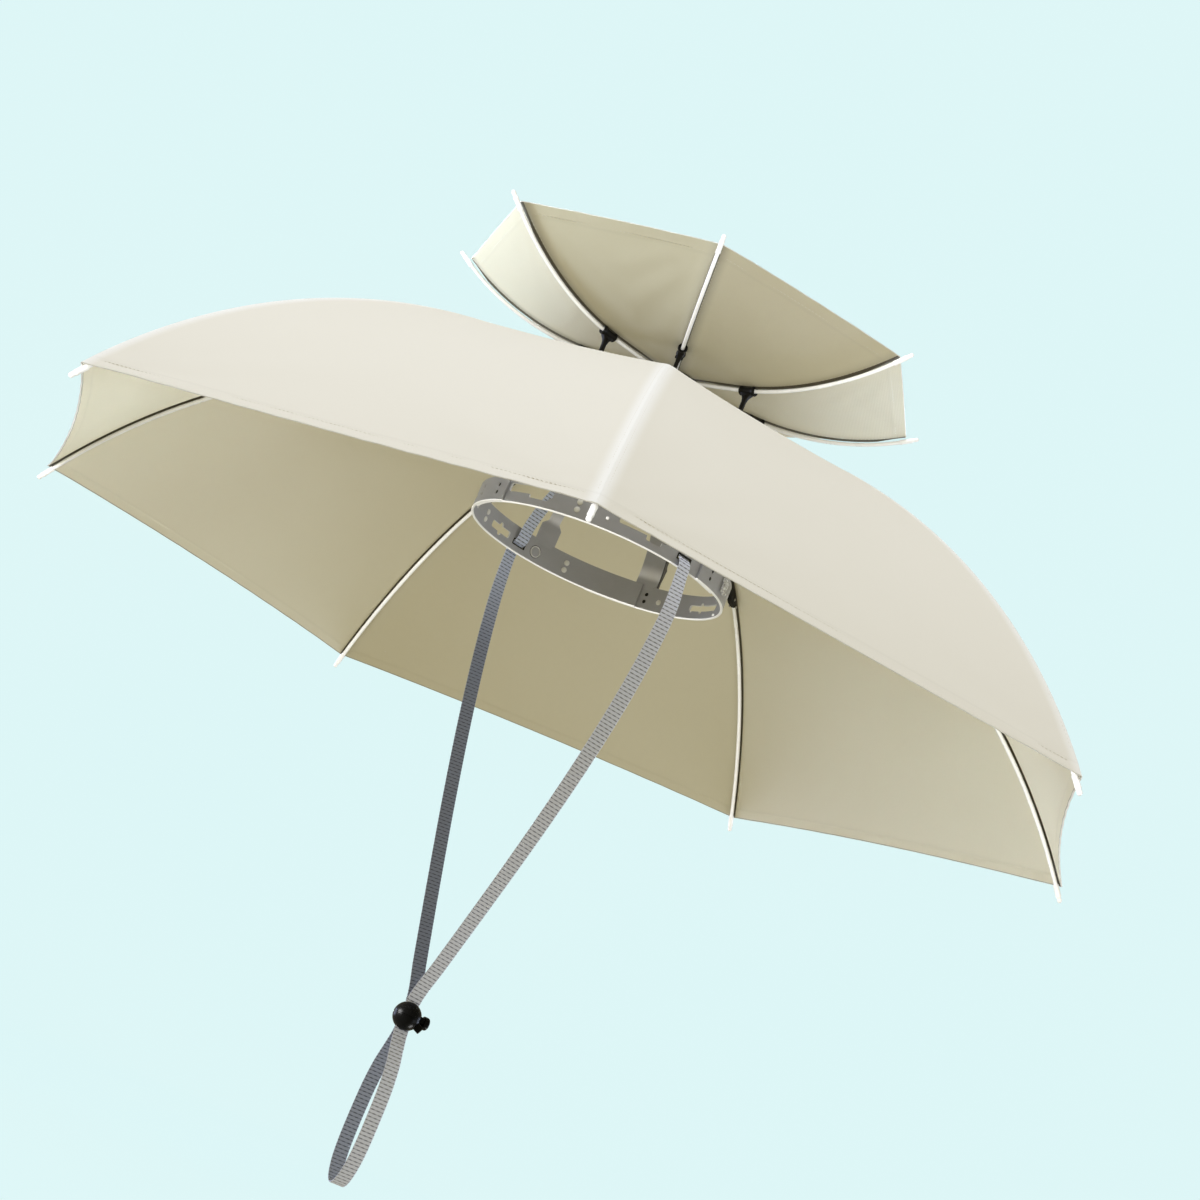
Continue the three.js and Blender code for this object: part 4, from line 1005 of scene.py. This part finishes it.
def band_strip(name, node, start, end, lap_at, leg, windows, studs, holes, slots):
    """One strip of the band from azimuth start to end, with its cuts, leg and studs. lap_at says how far
    out the strip lies, from 0 for inside to 1 for outside another. Each window has two azimuths, two heights
    and its lobes. Returns the rings of the white lip along the strip's bottom edge."""
    count = round((end - start) / 1.5)
    rings, lip = [], []

    def radius_at(azimuth):
        return INNER_BAND + (BAND_WALL + CLEAR) * lap_at(azimuth)

    def middle_at(azimuth):
        return radius_at(azimuth) - BAND_WALL / 2

    for i in range(count + 1):
        azimuth = mix(start, end, i / count)
        outer = radius_at(azimuth)
        inner, c = outer - BAND_WALL, 0.25 * MM
        low = EDGE_HEIGHT + 0.05 * MM
        rings.append([around(r, math.radians(azimuth), z) for r, z in (
            (inner + c, low), (outer - c, low), (outer, low + c), (outer, BAND_HEIGHT - c),
            (outer - c, BAND_HEIGHT), (inner + c, BAND_HEIGHT), (inner, BAND_HEIGHT - c), (inner, low + c))])
        lip.append([around(mix(inner, outer, 0.5) + reach * (BAND_WALL / 2 + EDGING_REACH),
                           math.radians(azimuth), z * EDGE_HEIGHT) for reach, z in LIP_OUTLINE])
    strip = Parts().loft(rings)
    piece = strip.place(name, GREY, slot="band_grey", replaced=[node], sharp=35)
    # Black discs behind the holes and black linings in the slots are painted shade for their depth.
    tools, dark = [], Parts()
    for low_turn, high_turn, low, high, lobes in windows:
        tools += window_tools(middle_at((low_turn + high_turn) / 2), low_turn, high_turn, low, high, lobes)
    for azimuth in holes:
        middle = middle_at(azimuth)
        for z in (7, 13):
            tools.append(outward_peg(middle - CUT_REACH, middle + CUT_REACH, azimuth, z * MM, 1.6 * MM))
            dark.add(outward_peg(middle - 0.25 * MM, middle + 0.25 * MM, azimuth, z * MM, 2 * MM,
                                 ends=0.1 * MM))
    for azimuth in slots:
        middle = middle_at(azimuth)
        turn = Matrix.Rotation(math.radians(azimuth), 4, "Z")
        frames = [[[turn @ Vector((middle + depth, side, SLOT_LOW + SLOT_HEIGHT / 2 + rise))
                    for side, rise in rounded(SLOT_WIDTH - 2 * inset, SLOT_HEIGHT - 2 * inset, 0.5 * MM)]
                   for depth in (-reach, reach)]
                  for reach, inset in ((CUT_REACH, 0), (0.95 * MM, -0.1 * MM), (0.95 * MM, 0.75 * MM))]
        tools.append(Parts().loft(frames[0]))
        outside, inside = frames[1:]
        dark.loft([outside[0], outside[1], inside[1], inside[0]], looped=True)
    cut(piece, [tool_piece(t) for t in tools])
    piece.data.polygons.foreach_set("use_smooth", [True] * len(piece.data.polygons))
    piece.data.set_sharp_from_angle(angle=math.radians(35))
    soften(piece, 0.2 * MM, 2, 50)
    if dark.points:
        dark.place(name + "_sockets", BLACK, slot="band_grey", sharp=40)
    azimuth, widths, flange, finish = leg
    plate, rim = crown_leg(middle_at(azimuth), widths, flange)
    plate.turn_about_axis(math.radians(azimuth)).place(name + "_leg", finish, slot="band_grey", sharp=40)
    if flange:
        # The rim's near black is painted shade.
        rim.turn_about_axis(math.radians(azimuth)).place(
            name + "_leg_rim", GREY_SHADE, slot="band_grey", sharp=30)
    pegs = Parts()
    for azimuth, heights in studs:
        for z in heights:
            for way in (1, -1):
                turn = pointing_out(azimuth, middle_at(azimuth) + way * BAND_WALL * 0.4, z * MM, way)
                pegs.turned(in_mm(((0.2, -0.3), (2.2, -0.3), (2.25, 0.3), (2.0, 0.8), (1.5, 1.15),
                                   (0.8, 1.35), (0.1, 1.4))), 20, turn)
    if studs:
        pegs.place(name + "_studs", STUD, slot="band_grey", sharp=50)
    return lip


def make_band():
    straight = ((16, 18.5), (60, 17.5), (100, 10), (110, 8.7))
    tab = ((16, 18.1), (33.6, 18.1), (34.6, 10), (80, 9.5), (110, 8.7))
    kinked = ((17.5, 2.0), (26, 2.2), (34, 4.2), (36, 5.6), (38.5, 3.4), (42, 4.2), (47, 6), (54, 6),
              (60, 3))
    lips = [
        band_strip(
            "front_strip", "band_front", -168, -28, lambda a: 0, leg=(-98, straight, None, LEG[29]),
            windows=[(-140, -116, 8.8, 15.5, []), (-127.5, -117.5, 6.2, 10, []),
                     (-86, -63, 9.5, 15.5, []), (-73, -65.5, 6.2, 10.5, [])],
            studs=[(-104, (7, 13))], holes=[], slots=[-53]),
        band_strip(
            "right_strip", "band_right", -43, 92, lambda a: 1, leg=(66, straight, kinked, LEG[29]),
            windows=[(15, 38, 7, 12, [(29.5, 12.2, 1.9), (29.5, 6.8, 1.9), (16.6, 6.9, 1.1),
                                      (36.4, 6.9, 1.1)]), (-10, 2, 7, 12, [])],
            studs=[(56.6, (9,))], holes=[-35, 64], slots=[]),
        band_strip(
            "left_strip", "band_left", 67, 219, lambda a: smooth_share(a, 118, 186),
            leg=(117.4, tab, None, LEG[40]),
            windows=[(137, 151, 6.5, 12, [(144, 12.2, 2.3), (144, 6.4, 2.3)]), (171, 190, 7, 12, [])],
            studs=[(158, (7, 13)), (104, (7, 13))], holes=[198, 213], slots=[130])]
    edging = Parts()
    for lip in lips:
        edging.loft(lip)
    edging.place("white_edging", WHITE_EDGE, slot="edging_white", replaced=["band_edging"], sharp=60)
    trims, seat = Parts(), INNER_BAND - BAND_WALL
    for low_turn, high_turn, top in ((-41, -27, 4.2), (8.6, 11, 1.7)):
        rings = []
        for i in range(13):
            swell = math.sin(math.pi * i / 12) ** 0.4 if 0 < i < 12 else 0.1
            inner, outer = seat - 0.7 * MM * swell, seat + 0.3 * MM
            low, high = 0.1 * MM, mix(EDGE_HEIGHT, top * MM, swell)
            rings.append([around(r, math.radians(mix(low_turn, high_turn, i / 12)), z)
                          for r, z in ((inner, low), (outer, low), (outer, high), (inner, high))])
        trims.loft(rings)
    trims.place("edging_joins", WHITE_EDGE, slot="edging_white", sharp=40)
    turn = pointing_out(BUTTON_AZIMUTH, seat, BUTTON_HEIGHT, -1)
    ring = Parts().loft([[turn @ Vector(((4.1 + 0.55 * math.cos(u)) * MM * math.cos(t),
                                         (4.1 + 0.55 * math.cos(u)) * MM * math.sin(t),
                                         0.55 * MM * math.sin(u)))
                          for u in full_turn(10)] for t in full_turn(40)], looped=True)
    face = Parts().turned(in_mm(((0.1, -0.2), (3.5, -0.2), (3.5, 0.25), (3.0, 0.4), (0.1, 0.42))), 32, turn)
    face.place("ring_button_face", GREY, slot="band_grey", sharp=50)
    # The ring's pale grey is a painted highlight.
    ring.place("ring_button", CUT_EDGE_HIGHLIGHT, slot="band_grey", sharp=50)
    # The groove's near black is painted shade.
    groove = outward_peg(seat - 0.12 * MM, seat + 0.3 * MM, BUTTON_AZIMUTH, BUTTON_HEIGHT, 5.1 * MM,
                         40, 0.1 * MM)
    groove.place("ring_button_groove", GREY_SHADE, slot="band_grey", sharp=50)
    stud = outward_peg(INNER_BAND - 0.3 * MM, INNER_BAND + 0.9 * MM, -90.9, 8.8 * MM, 1.25 * MM,
                       18, 0.35 * MM)
    stud.place("white_stud", WHITE_CAP, slot="edging_white", sharp=50)


def make_film(name, azimuth, z, spread, seed):
    """A scrap of crumpled clear film caught on the band."""
    draw = random.Random(seed)
    rows = 9
    points, faces = [], []
    wobble = [[draw.uniform(-1, 1) for _ in range(rows)] for _ in range(rows)]
    for shell in (0, 1):
        for i in range(rows):
            for j in range(rows):
                u, v = i / (rows - 1) - 0.5, j / (rows - 1) - 0.5
                edge = 1 - 0.35 * abs(wobble[i][j]) * (abs(u) + abs(v))
                radius = BAND_RADIUS + 1.6 * MM + 1.2 * MM * wobble[i][j] + 0.16 * MM * shell
                points.append(around(radius, math.radians(azimuth) + u * spread / BAND_RADIUS * edge,
                                     z + v * spread * edge))
    count = rows * rows

    def grid(shell, i, j):
        return shell * count + i * rows + j

    for i in range(rows - 1):
        for j in range(rows - 1):
            faces.append((grid(0, i, j), grid(0, i, j + 1), grid(0, i + 1, j + 1), grid(0, i + 1, j)))
            faces.append((grid(1, i, j), grid(1, i + 1, j), grid(1, i + 1, j + 1), grid(1, i, j + 1)))
    rim = ([(i, 0) for i in range(rows - 1)] + [(rows - 1, j) for j in range(rows - 1)]
           + [(i, rows - 1) for i in range(rows - 1, 0, -1)] + [(0, j) for j in range(rows - 1, 0, -1)])
    for (a, b), (c, d) in zip(rim, rim[1:] + rim[:1]):
        faces.append((grid(0, a, b), grid(0, c, d), grid(1, c, d), grid(1, a, b)))
    place(name, points, faces, FILM, slot="edging_white", sharp=25)


# Strap: over the crown, out through a slot on each side, down to the lock and round a loop

STRAP_WIDTH, STRAP_THICK = 11 * MM, 1.2 * MM
STRAP_SEAT = 0.5 * MM
SLOT_LOW, SLOT_WIDTH, SLOT_HEIGHT = 5.4 * MM, 13.4 * MM, 4.8 * MM
STRAP_EXIT, EDGING_LIP = 2.2 * MM, 0.5 * MM
INNER_BAND = BAND_RADIUS - BAND_WALL - CLEAR
ARCH_POWER, BOW_POWER = 1.65, 0.7
LEFT_SIDE = (130, 11 * MM, 1, 12)
RIGHT_SIDE = (-53, 21.5 * MM, -1, 26)
OUT_OF_SLOT = (0.65, 0.45)
LOOP_LENGTH, LOOP_HALF = 126 * MM, 18 * MM
LOOP_SHAPE = ((0.1, 0.28), (0.22, 0.68), (0.36, 0.92), (0.52, 1), (0.68, 1), (0.8, 0.92), (0.89, 0.74),
              (0.95, 0.5), (0.985, 0.25))
arch_top = hub_bottom - CLEAR - BAND_WALL - STRAP_SEAT - STRAP_THICK / 2
strand_offset = STRAP_THICK / 2 + CLEAR / 2
toggle_end = TOGGLE_RADIUS + 1 * MM
behind = around(1, TOGGLE_HEADING + math.pi / 2, 0)


def strap_side(azimuth, bow, side, twist):
    """Stations down one side: place and heading. twist is how far, in degrees, the strand turns its face
    outside the slot."""
    slot_heading = math.radians(azimuth - side * 90)
    azimuth = math.radians(azimuth)
    stations = []
    inside = INNER_BAND - BAND_WALL - STRAP_THICK - 2 * CLEAR
    arch_foot = SLOT_LOW + SLOT_HEIGHT + CLEAR
    for i in range(1, 10):
        turn = math.pi / 2 * (1 - i / 9)
        radius = inside * math.cos(turn) ** (2 / ARCH_POWER)
        z = mix(arch_foot, arch_top, math.sin(turn) ** (2 / ARCH_POWER))
        stations.append((around(radius, azimuth, z), slot_heading))
    outside = BAND_RADIUS + EDGING_LIP + CLEAR + STRAP_SEAT / 2 + STRAP_THICK / 2
    middle, wall_middle = SLOT_LOW + SLOT_HEIGHT / 2, INNER_BAND - BAND_WALL / 2
    stations.append((around(wall_middle, azimuth, middle + CLEAR), slot_heading))
    stations.append((around(mix(wall_middle, outside, OUT_OF_SLOT[0]), azimuth,
                            mix(middle, STRAP_EXIT, OUT_OF_SLOT[1])), slot_heading))
    stations.append((around(outside, azimuth, STRAP_EXIT), slot_heading))
    start = around(outside + CLEAR, azimuth, -STRAP_EXIT)
    end = TOGGLE_CENTRE + behind * side * strand_offset + UP * toggle_end
    for i in range(13):
        t = i / 12
        outwards = bow * math.sin(math.pi * t ** BOW_POWER)
        turned = math.radians(twist) * smooth_share(t, 0, 0.14) * (1 - smooth_share(t, 0.3, 0.9))
        stations.append((start.lerp(end, t) + around(outwards, azimuth, 0),
                         mix(slot_heading, TOGGLE_HEADING, t) - turned))
    stations.append((end - UP * 2 * toggle_end, TOGGLE_HEADING))
    for depth, opening in LOOP_SHAPE:
        across = side * mix(strand_offset, LOOP_HALF, opening)
        stations.append((TOGGLE_CENTRE + behind * across - UP * mix(toggle_end, LOOP_LENGTH, depth),
                         TOGGLE_HEADING))
    return stations


def smooth_loop(stations, pitch):
    """Points and headings a small pitch apart on a smooth closed curve through the stations."""
    places = np.array([tuple(p) + (h,) for p, h in stations])
    fine = []
    for i in range(len(places)):
        p0, p1, p2, p3 = (places[(i + d) % len(places)] for d in (-1, 0, 1, 2))
        span = np.linalg.norm(p2[:3] - p1[:3])
        t0 = np.sqrt(np.linalg.norm(p1[:3] - p0[:3]))
        t1 = np.sqrt(span)
        t2 = np.sqrt(np.linalg.norm(p3[:3] - p2[:3]))
        m1 = (p1 - p0) / t0 - (p2 - p0) / (t0 + t1) + (p2 - p1) / t1
        m2 = (p2 - p1) / t1 - (p3 - p1) / (t1 + t2) + (p3 - p2) / t2
        m1, m2 = m1 * t1, m2 * t1
        count = max(2, int(span / (pitch / 2)))
        for j in range(count):
            t = j / count
            fine.append((2 * t ** 3 - 3 * t ** 2 + 1) * p1 + (t ** 3 - 2 * t ** 2 + t) * m1
                        + (-2 * t ** 3 + 3 * t ** 2) * p2 + (t ** 3 - t ** 2) * m2)
    fine = np.array(fine + [fine[0]])
    run = np.concatenate([[0], np.cumsum(np.linalg.norm(np.diff(fine[:, :3], axis=0), axis=1))])
    total = run[-1]
    count = int(round(total / STRAP_RIB)) * int(round(STRAP_RIB / pitch))
    wanted = np.linspace(0, total, count + 1)[:-1]
    return np.stack([np.interp(wanted, run, fine[:, c]) for c in range(4)], 1), wanted, total


def make_strap():
    """The whole loop of webbing, and its length in metres."""
    left, right = strap_side(*LEFT_SIDE), strap_side(*RIGHT_SIDE)
    crown = (Vector((0, 0, arch_top)), (left[0][1] + right[0][1]) / 2)
    lowest = (TOGGLE_CENTRE - UP * LOOP_LENGTH, TOGGLE_HEADING)
    places, runs, total = smooth_loop([crown, *left, lowest, *reversed(right)], STRAP_RIB / 4)
    along = np.roll(places[:, :3], -1, 0) - np.roll(places[:, :3], 1, 0)
    along /= np.linalg.norm(along, axis=1, keepdims=True)
    level = np.stack([np.cos(places[:, 3]), np.sin(places[:, 3]), np.zeros(len(places))], 1)
    across = level - along * (level * along).sum(1, keepdims=True)
    across /= np.linalg.norm(across, axis=1, keepdims=True)
    through = np.cross(across, along)
    rib = 0.5 + 0.5 * np.cos(runs * 2 * np.pi / (total / round(total / STRAP_RIB)))
    section = [(-1, 0), (-0.97, 0.8), (-0.86, 1), (-0.5, 0.86), (0, 0.9), (0.5, 0.86), (0.86, 1), (0.97, 0.8),
               (1, 0), (0.97, -0.8), (0.86, -1), (0.5, -0.86), (0, -0.9), (-0.5, -0.86), (-0.86, -1),
               (-0.97, -0.8)]
    side = np.array([s for s, _ in section]) * STRAP_WIDTH / 2
    rise = np.array([r for _, r in section])
    height = (STRAP_THICK / 2) * (0.66 + 0.34 * rib)[:, None] * rise[None]
    width = side[None] * (1 + 0.012 * rib[:, None])
    rings = places[:, None, :3] + across[:, None] * width[..., None] + through[:, None] * height[..., None]
    uv = np.stack([np.broadcast_to(side, height.shape), np.broadcast_to(runs[:, None], height.shape)], 2)
    faces = loft(rings, looped=True)
    inside = [int(j >= len(section) // 2) for j in range(len(section))] * len(rings)
    place("chin_strap", rings.reshape(-1, 3), faces, [WEBBING, WEBBING_INSIDE], slot="strap_webbing",
                  replaced=["strap"], uv={"cloth": uv.reshape(-1, 2)}, kinds=inside)
    return total


strap_length = make_strap()

# Cord lock: a ball with a slot for both strands, and its push button

toggle_turn = Matrix.Translation(TOGGLE_CENTRE) @ Matrix.Rotation(TOGGLE_HEADING, 4, "Z")


def make_toggle():
    r = TOGGLE_RADIUS
    low, high = ([(r * math.cos(t), r * math.sin(t)) for t in map(math.radians, range(start, start + 61, 6))]
                 for start in (-66, 6))
    profile = [(0.02 * r, -r), (0.3 * r, -0.955 * r), *low, (0.998 * r, -0.06 * r), (0.965 * r, -0.035 * r),
               (0.965 * r, 0.035 * r), (0.998 * r, 0.06 * r), *high, (0.3 * r, 0.955 * r), (0.02 * r, r)]
    ball = Parts().turned(profile, 64, toggle_turn)
    piece = ball.place("lock_body", GLOSS, slot="toggle_black", replaced=["toggle_body"])
    slot = Parts().block((-5.8 * MM, -1.65 * MM, -30 * MM), (5.8 * MM, 1.65 * MM, 30 * MM), toggle_turn)
    outwards = toggle_turn @ Matrix.Rotation(math.pi / 2, 4, "Y")
    bore = Parts().turned(in_mm(((3.9, 5.8), (3.9, 20))), 32, outwards)
    cut(piece, [tool_piece(slot, GLOSS), tool_piece(bore, GLOSS)])
    piece.data.set_sharp_from_angle(angle=math.radians(35))
    soften(piece, 0.35 * MM, 3, 35)
    lug_way = Vector((0.905, -0.05, -0.42)).normalized()
    lug_turn = Matrix.Translation(TOGGLE_CENTRE) @ lug_way.to_track_quat("Z", "Y").to_matrix().to_4x4()
    lug = Parts().turned(in_mm((
        (0.2, 8.5), (2.9, 8.5), (3.1, 9.2), (3.1, 14.0), (2.9, 14.5), (2.1, 14.5), (2.0, 14.2), (2.0, 12),
        (0.2, 12))), 28, lug_turn)
    lug.place("lock_lug", GLOSS, slot="toggle_black", sharp=40)
    button = Parts().turned(in_mm((
        (0.3, 8.2), (3.3, 8.2), (3.6, 8.5), (3.6, 12.2), (3.8, 12.5), (4.5, 12.55), (4.75, 12.8), (4.8, 13.4),
        (4.8, 15.2), (4.7, 16.0), (4.3, 16.7), (3.5, 17.2), (2.3, 17.45), (1.0, 17.5),
        (0.1, 17.5))), 48, outwards)
    button.place("lock_button", GLOSS, body="push_button", slot="toggle_black",
                 replaced=["toggle_button"])


make_toggle()
make_hubs()
make_band()
make_film("film_scrap_1", -22.3, 10.6 * MM, 13 * MM, 5)
make_film("film_scrap_2", -70, 14.5 * MM, 8 * MM, 8)

# Floor, backdrop and light

FLOOR_HEIGHT = -0.535
FLOOR_REACH, WALL_TURN, WALL_TOP = 3.4, 1.6, 5.5


def make_stage():
    backdrop = Finish("pale_stage", roughness=0.9, specular_ior_level=0.0, emission_strength=0.92)
    cloudy = backdrop.noise(0.5, 2)
    backdrop.set(base_color=backdrop.tint(cloudy, (0.010, 0.012, 0.012), (0.012, 0.015, 0.015)),
                 emission_color=backdrop.tint(cloudy, (0.77, 0.99, 1.0), (0.80, 1.0, 1.0)))
    profile = [(0.02, 0), (FLOOR_REACH, 0)] + [
        (FLOOR_REACH + WALL_TURN * math.sin(t), WALL_TURN * (1 - math.cos(t)))
        for t in (math.pi / 2 * i / 12 for i in range(1, 13))] + [(FLOOR_REACH + WALL_TURN, WALL_TOP)]
    sides = 96
    points = [(r * math.cos(t), r * math.sin(t), FLOOR_HEIGHT + z)
              for r, z in profile for t in full_turn(sides)]
    faces = loft([[None] * sides] * len(profile))[:-2] + [tuple(range(sides))]
    mesh = bpy.data.meshes.new("stage")
    mesh.from_pydata(points, [], faces)
    mesh.polygons.foreach_set("use_smooth", [True] * len(mesh.polygons))
    mesh.materials.append(backdrop.material)
    stage = bpy.data.objects.new("stage", mesh)
    stage.visible_diffuse = stage.visible_glossy = stage.visible_shadow = False
    scene.collection.objects.link(stage)


def area_light(name, at, size, power, tint=(1, 1, 1), towards=(0, 0, 0), only=None, spread=180):
    """A soft light. only is the collection of pieces that it lights, where it doesn't light them all."""
    lamp = bpy.data.lights.new(name, "AREA")
    lamp.shape, lamp.size, lamp.size_y = "RECTANGLE", *size
    lamp.energy, lamp.color, lamp.spread = power, tint, math.radians(spread)
    light = bpy.data.objects.new(name, lamp)
    light.location = at
    light.rotation_mode = "QUATERNION"
    light.rotation_quaternion = (Vector(towards) - Vector(at)).to_track_quat("-Z", "Y")
    light.visible_camera = False
    if only:
        light.light_linking.receiver_collection = only
    scene.collection.objects.link(light)


make_stage()
for name, at, size, power, tint in (
        ("key_light", (-0.75, -1.5, 2.5), 1.8, 64, (0.78, 0.84, 1)),
        ("left_light", (-2.5, 1.3, -0.3), 1.2, 55, (0.63, 0.71, 1)),
        ("right_light", (2.5, 1.3, -0.3), 1.2, 33, (0.67, 0.77, 1)),
        ("side_light", (2.4, -0.6, -0.9), 1.2, 10, (0.8, 0.88, 1))):
    area_light(name, at, (size, size), power, tint)
# Narrow fills, each aimed at a part of one canopy
for name, at, power, tint, towards, only, spread in (
        ("left_fill", (0.64, 0.15, -1.27), 0.21, (0.78, 0.88, 1), (-0.43, -0.12, -0.04), CANOPY_PIECES, 20),
        ("left_fill_back", (0.7, -0.3, -1.15), 0.03, (0.72, 0.82, 1), (-0.28, 0.2, 0), CANOPY_PIECES, 24),
        ("right_fill", (-0.62, -0.2, -1.25), 0.17, (0.74, 0.84, 1), (0.43, -0.03, -0.04), CANOPY_PIECES, 20),
        ("right_fill_back", (-0.7, -0.3, -1.15), 0.1, (0.7, 0.82, 1), (0.25, 0.22, 0), CANOPY_PIECES, 26),
        ("bowl_fill_left", (-1.6, -0.3, 0.28), 0.54, (0.75, 0.88, 1), (-0.14, -0.03, 0.2), BOWL_PIECES, 22),
        ("bowl_fill_right", (1.6, 0.1, 0.26), 0.16, (0.6, 0.75, 1), (0.15, -0.02, 0.2), BOWL_PIECES, 16)):
    area_light(name, at, (0.3, 0.3), power, tint, towards, only, spread)
area_light("trim_light", (-0.9, -2.6, -0.9), (1.0, 1.0), 75, only=WHITE_PIECES)
area_light("lock_light", (-1.09, -0.42, -0.15), (0.7, 0.5), 52, towards=TOGGLE_CENTRE, only=LOCK_PIECES)
area_light("lock_glint", (0.15, 0.02, -0.52), (0.07, 0.07), 0.35, towards=TOGGLE_CENTRE, only=LOCK_PIECES)
world = bpy.data.worlds.new("soft_room")
world.use_nodes = True
background = world.node_tree.nodes["Background"].inputs
background["Color"].default_value, background["Strength"].default_value = (1, 0.92, 0.66, 1), 0.455
scene.world = world
scene.view_settings.view_transform = "Standard"
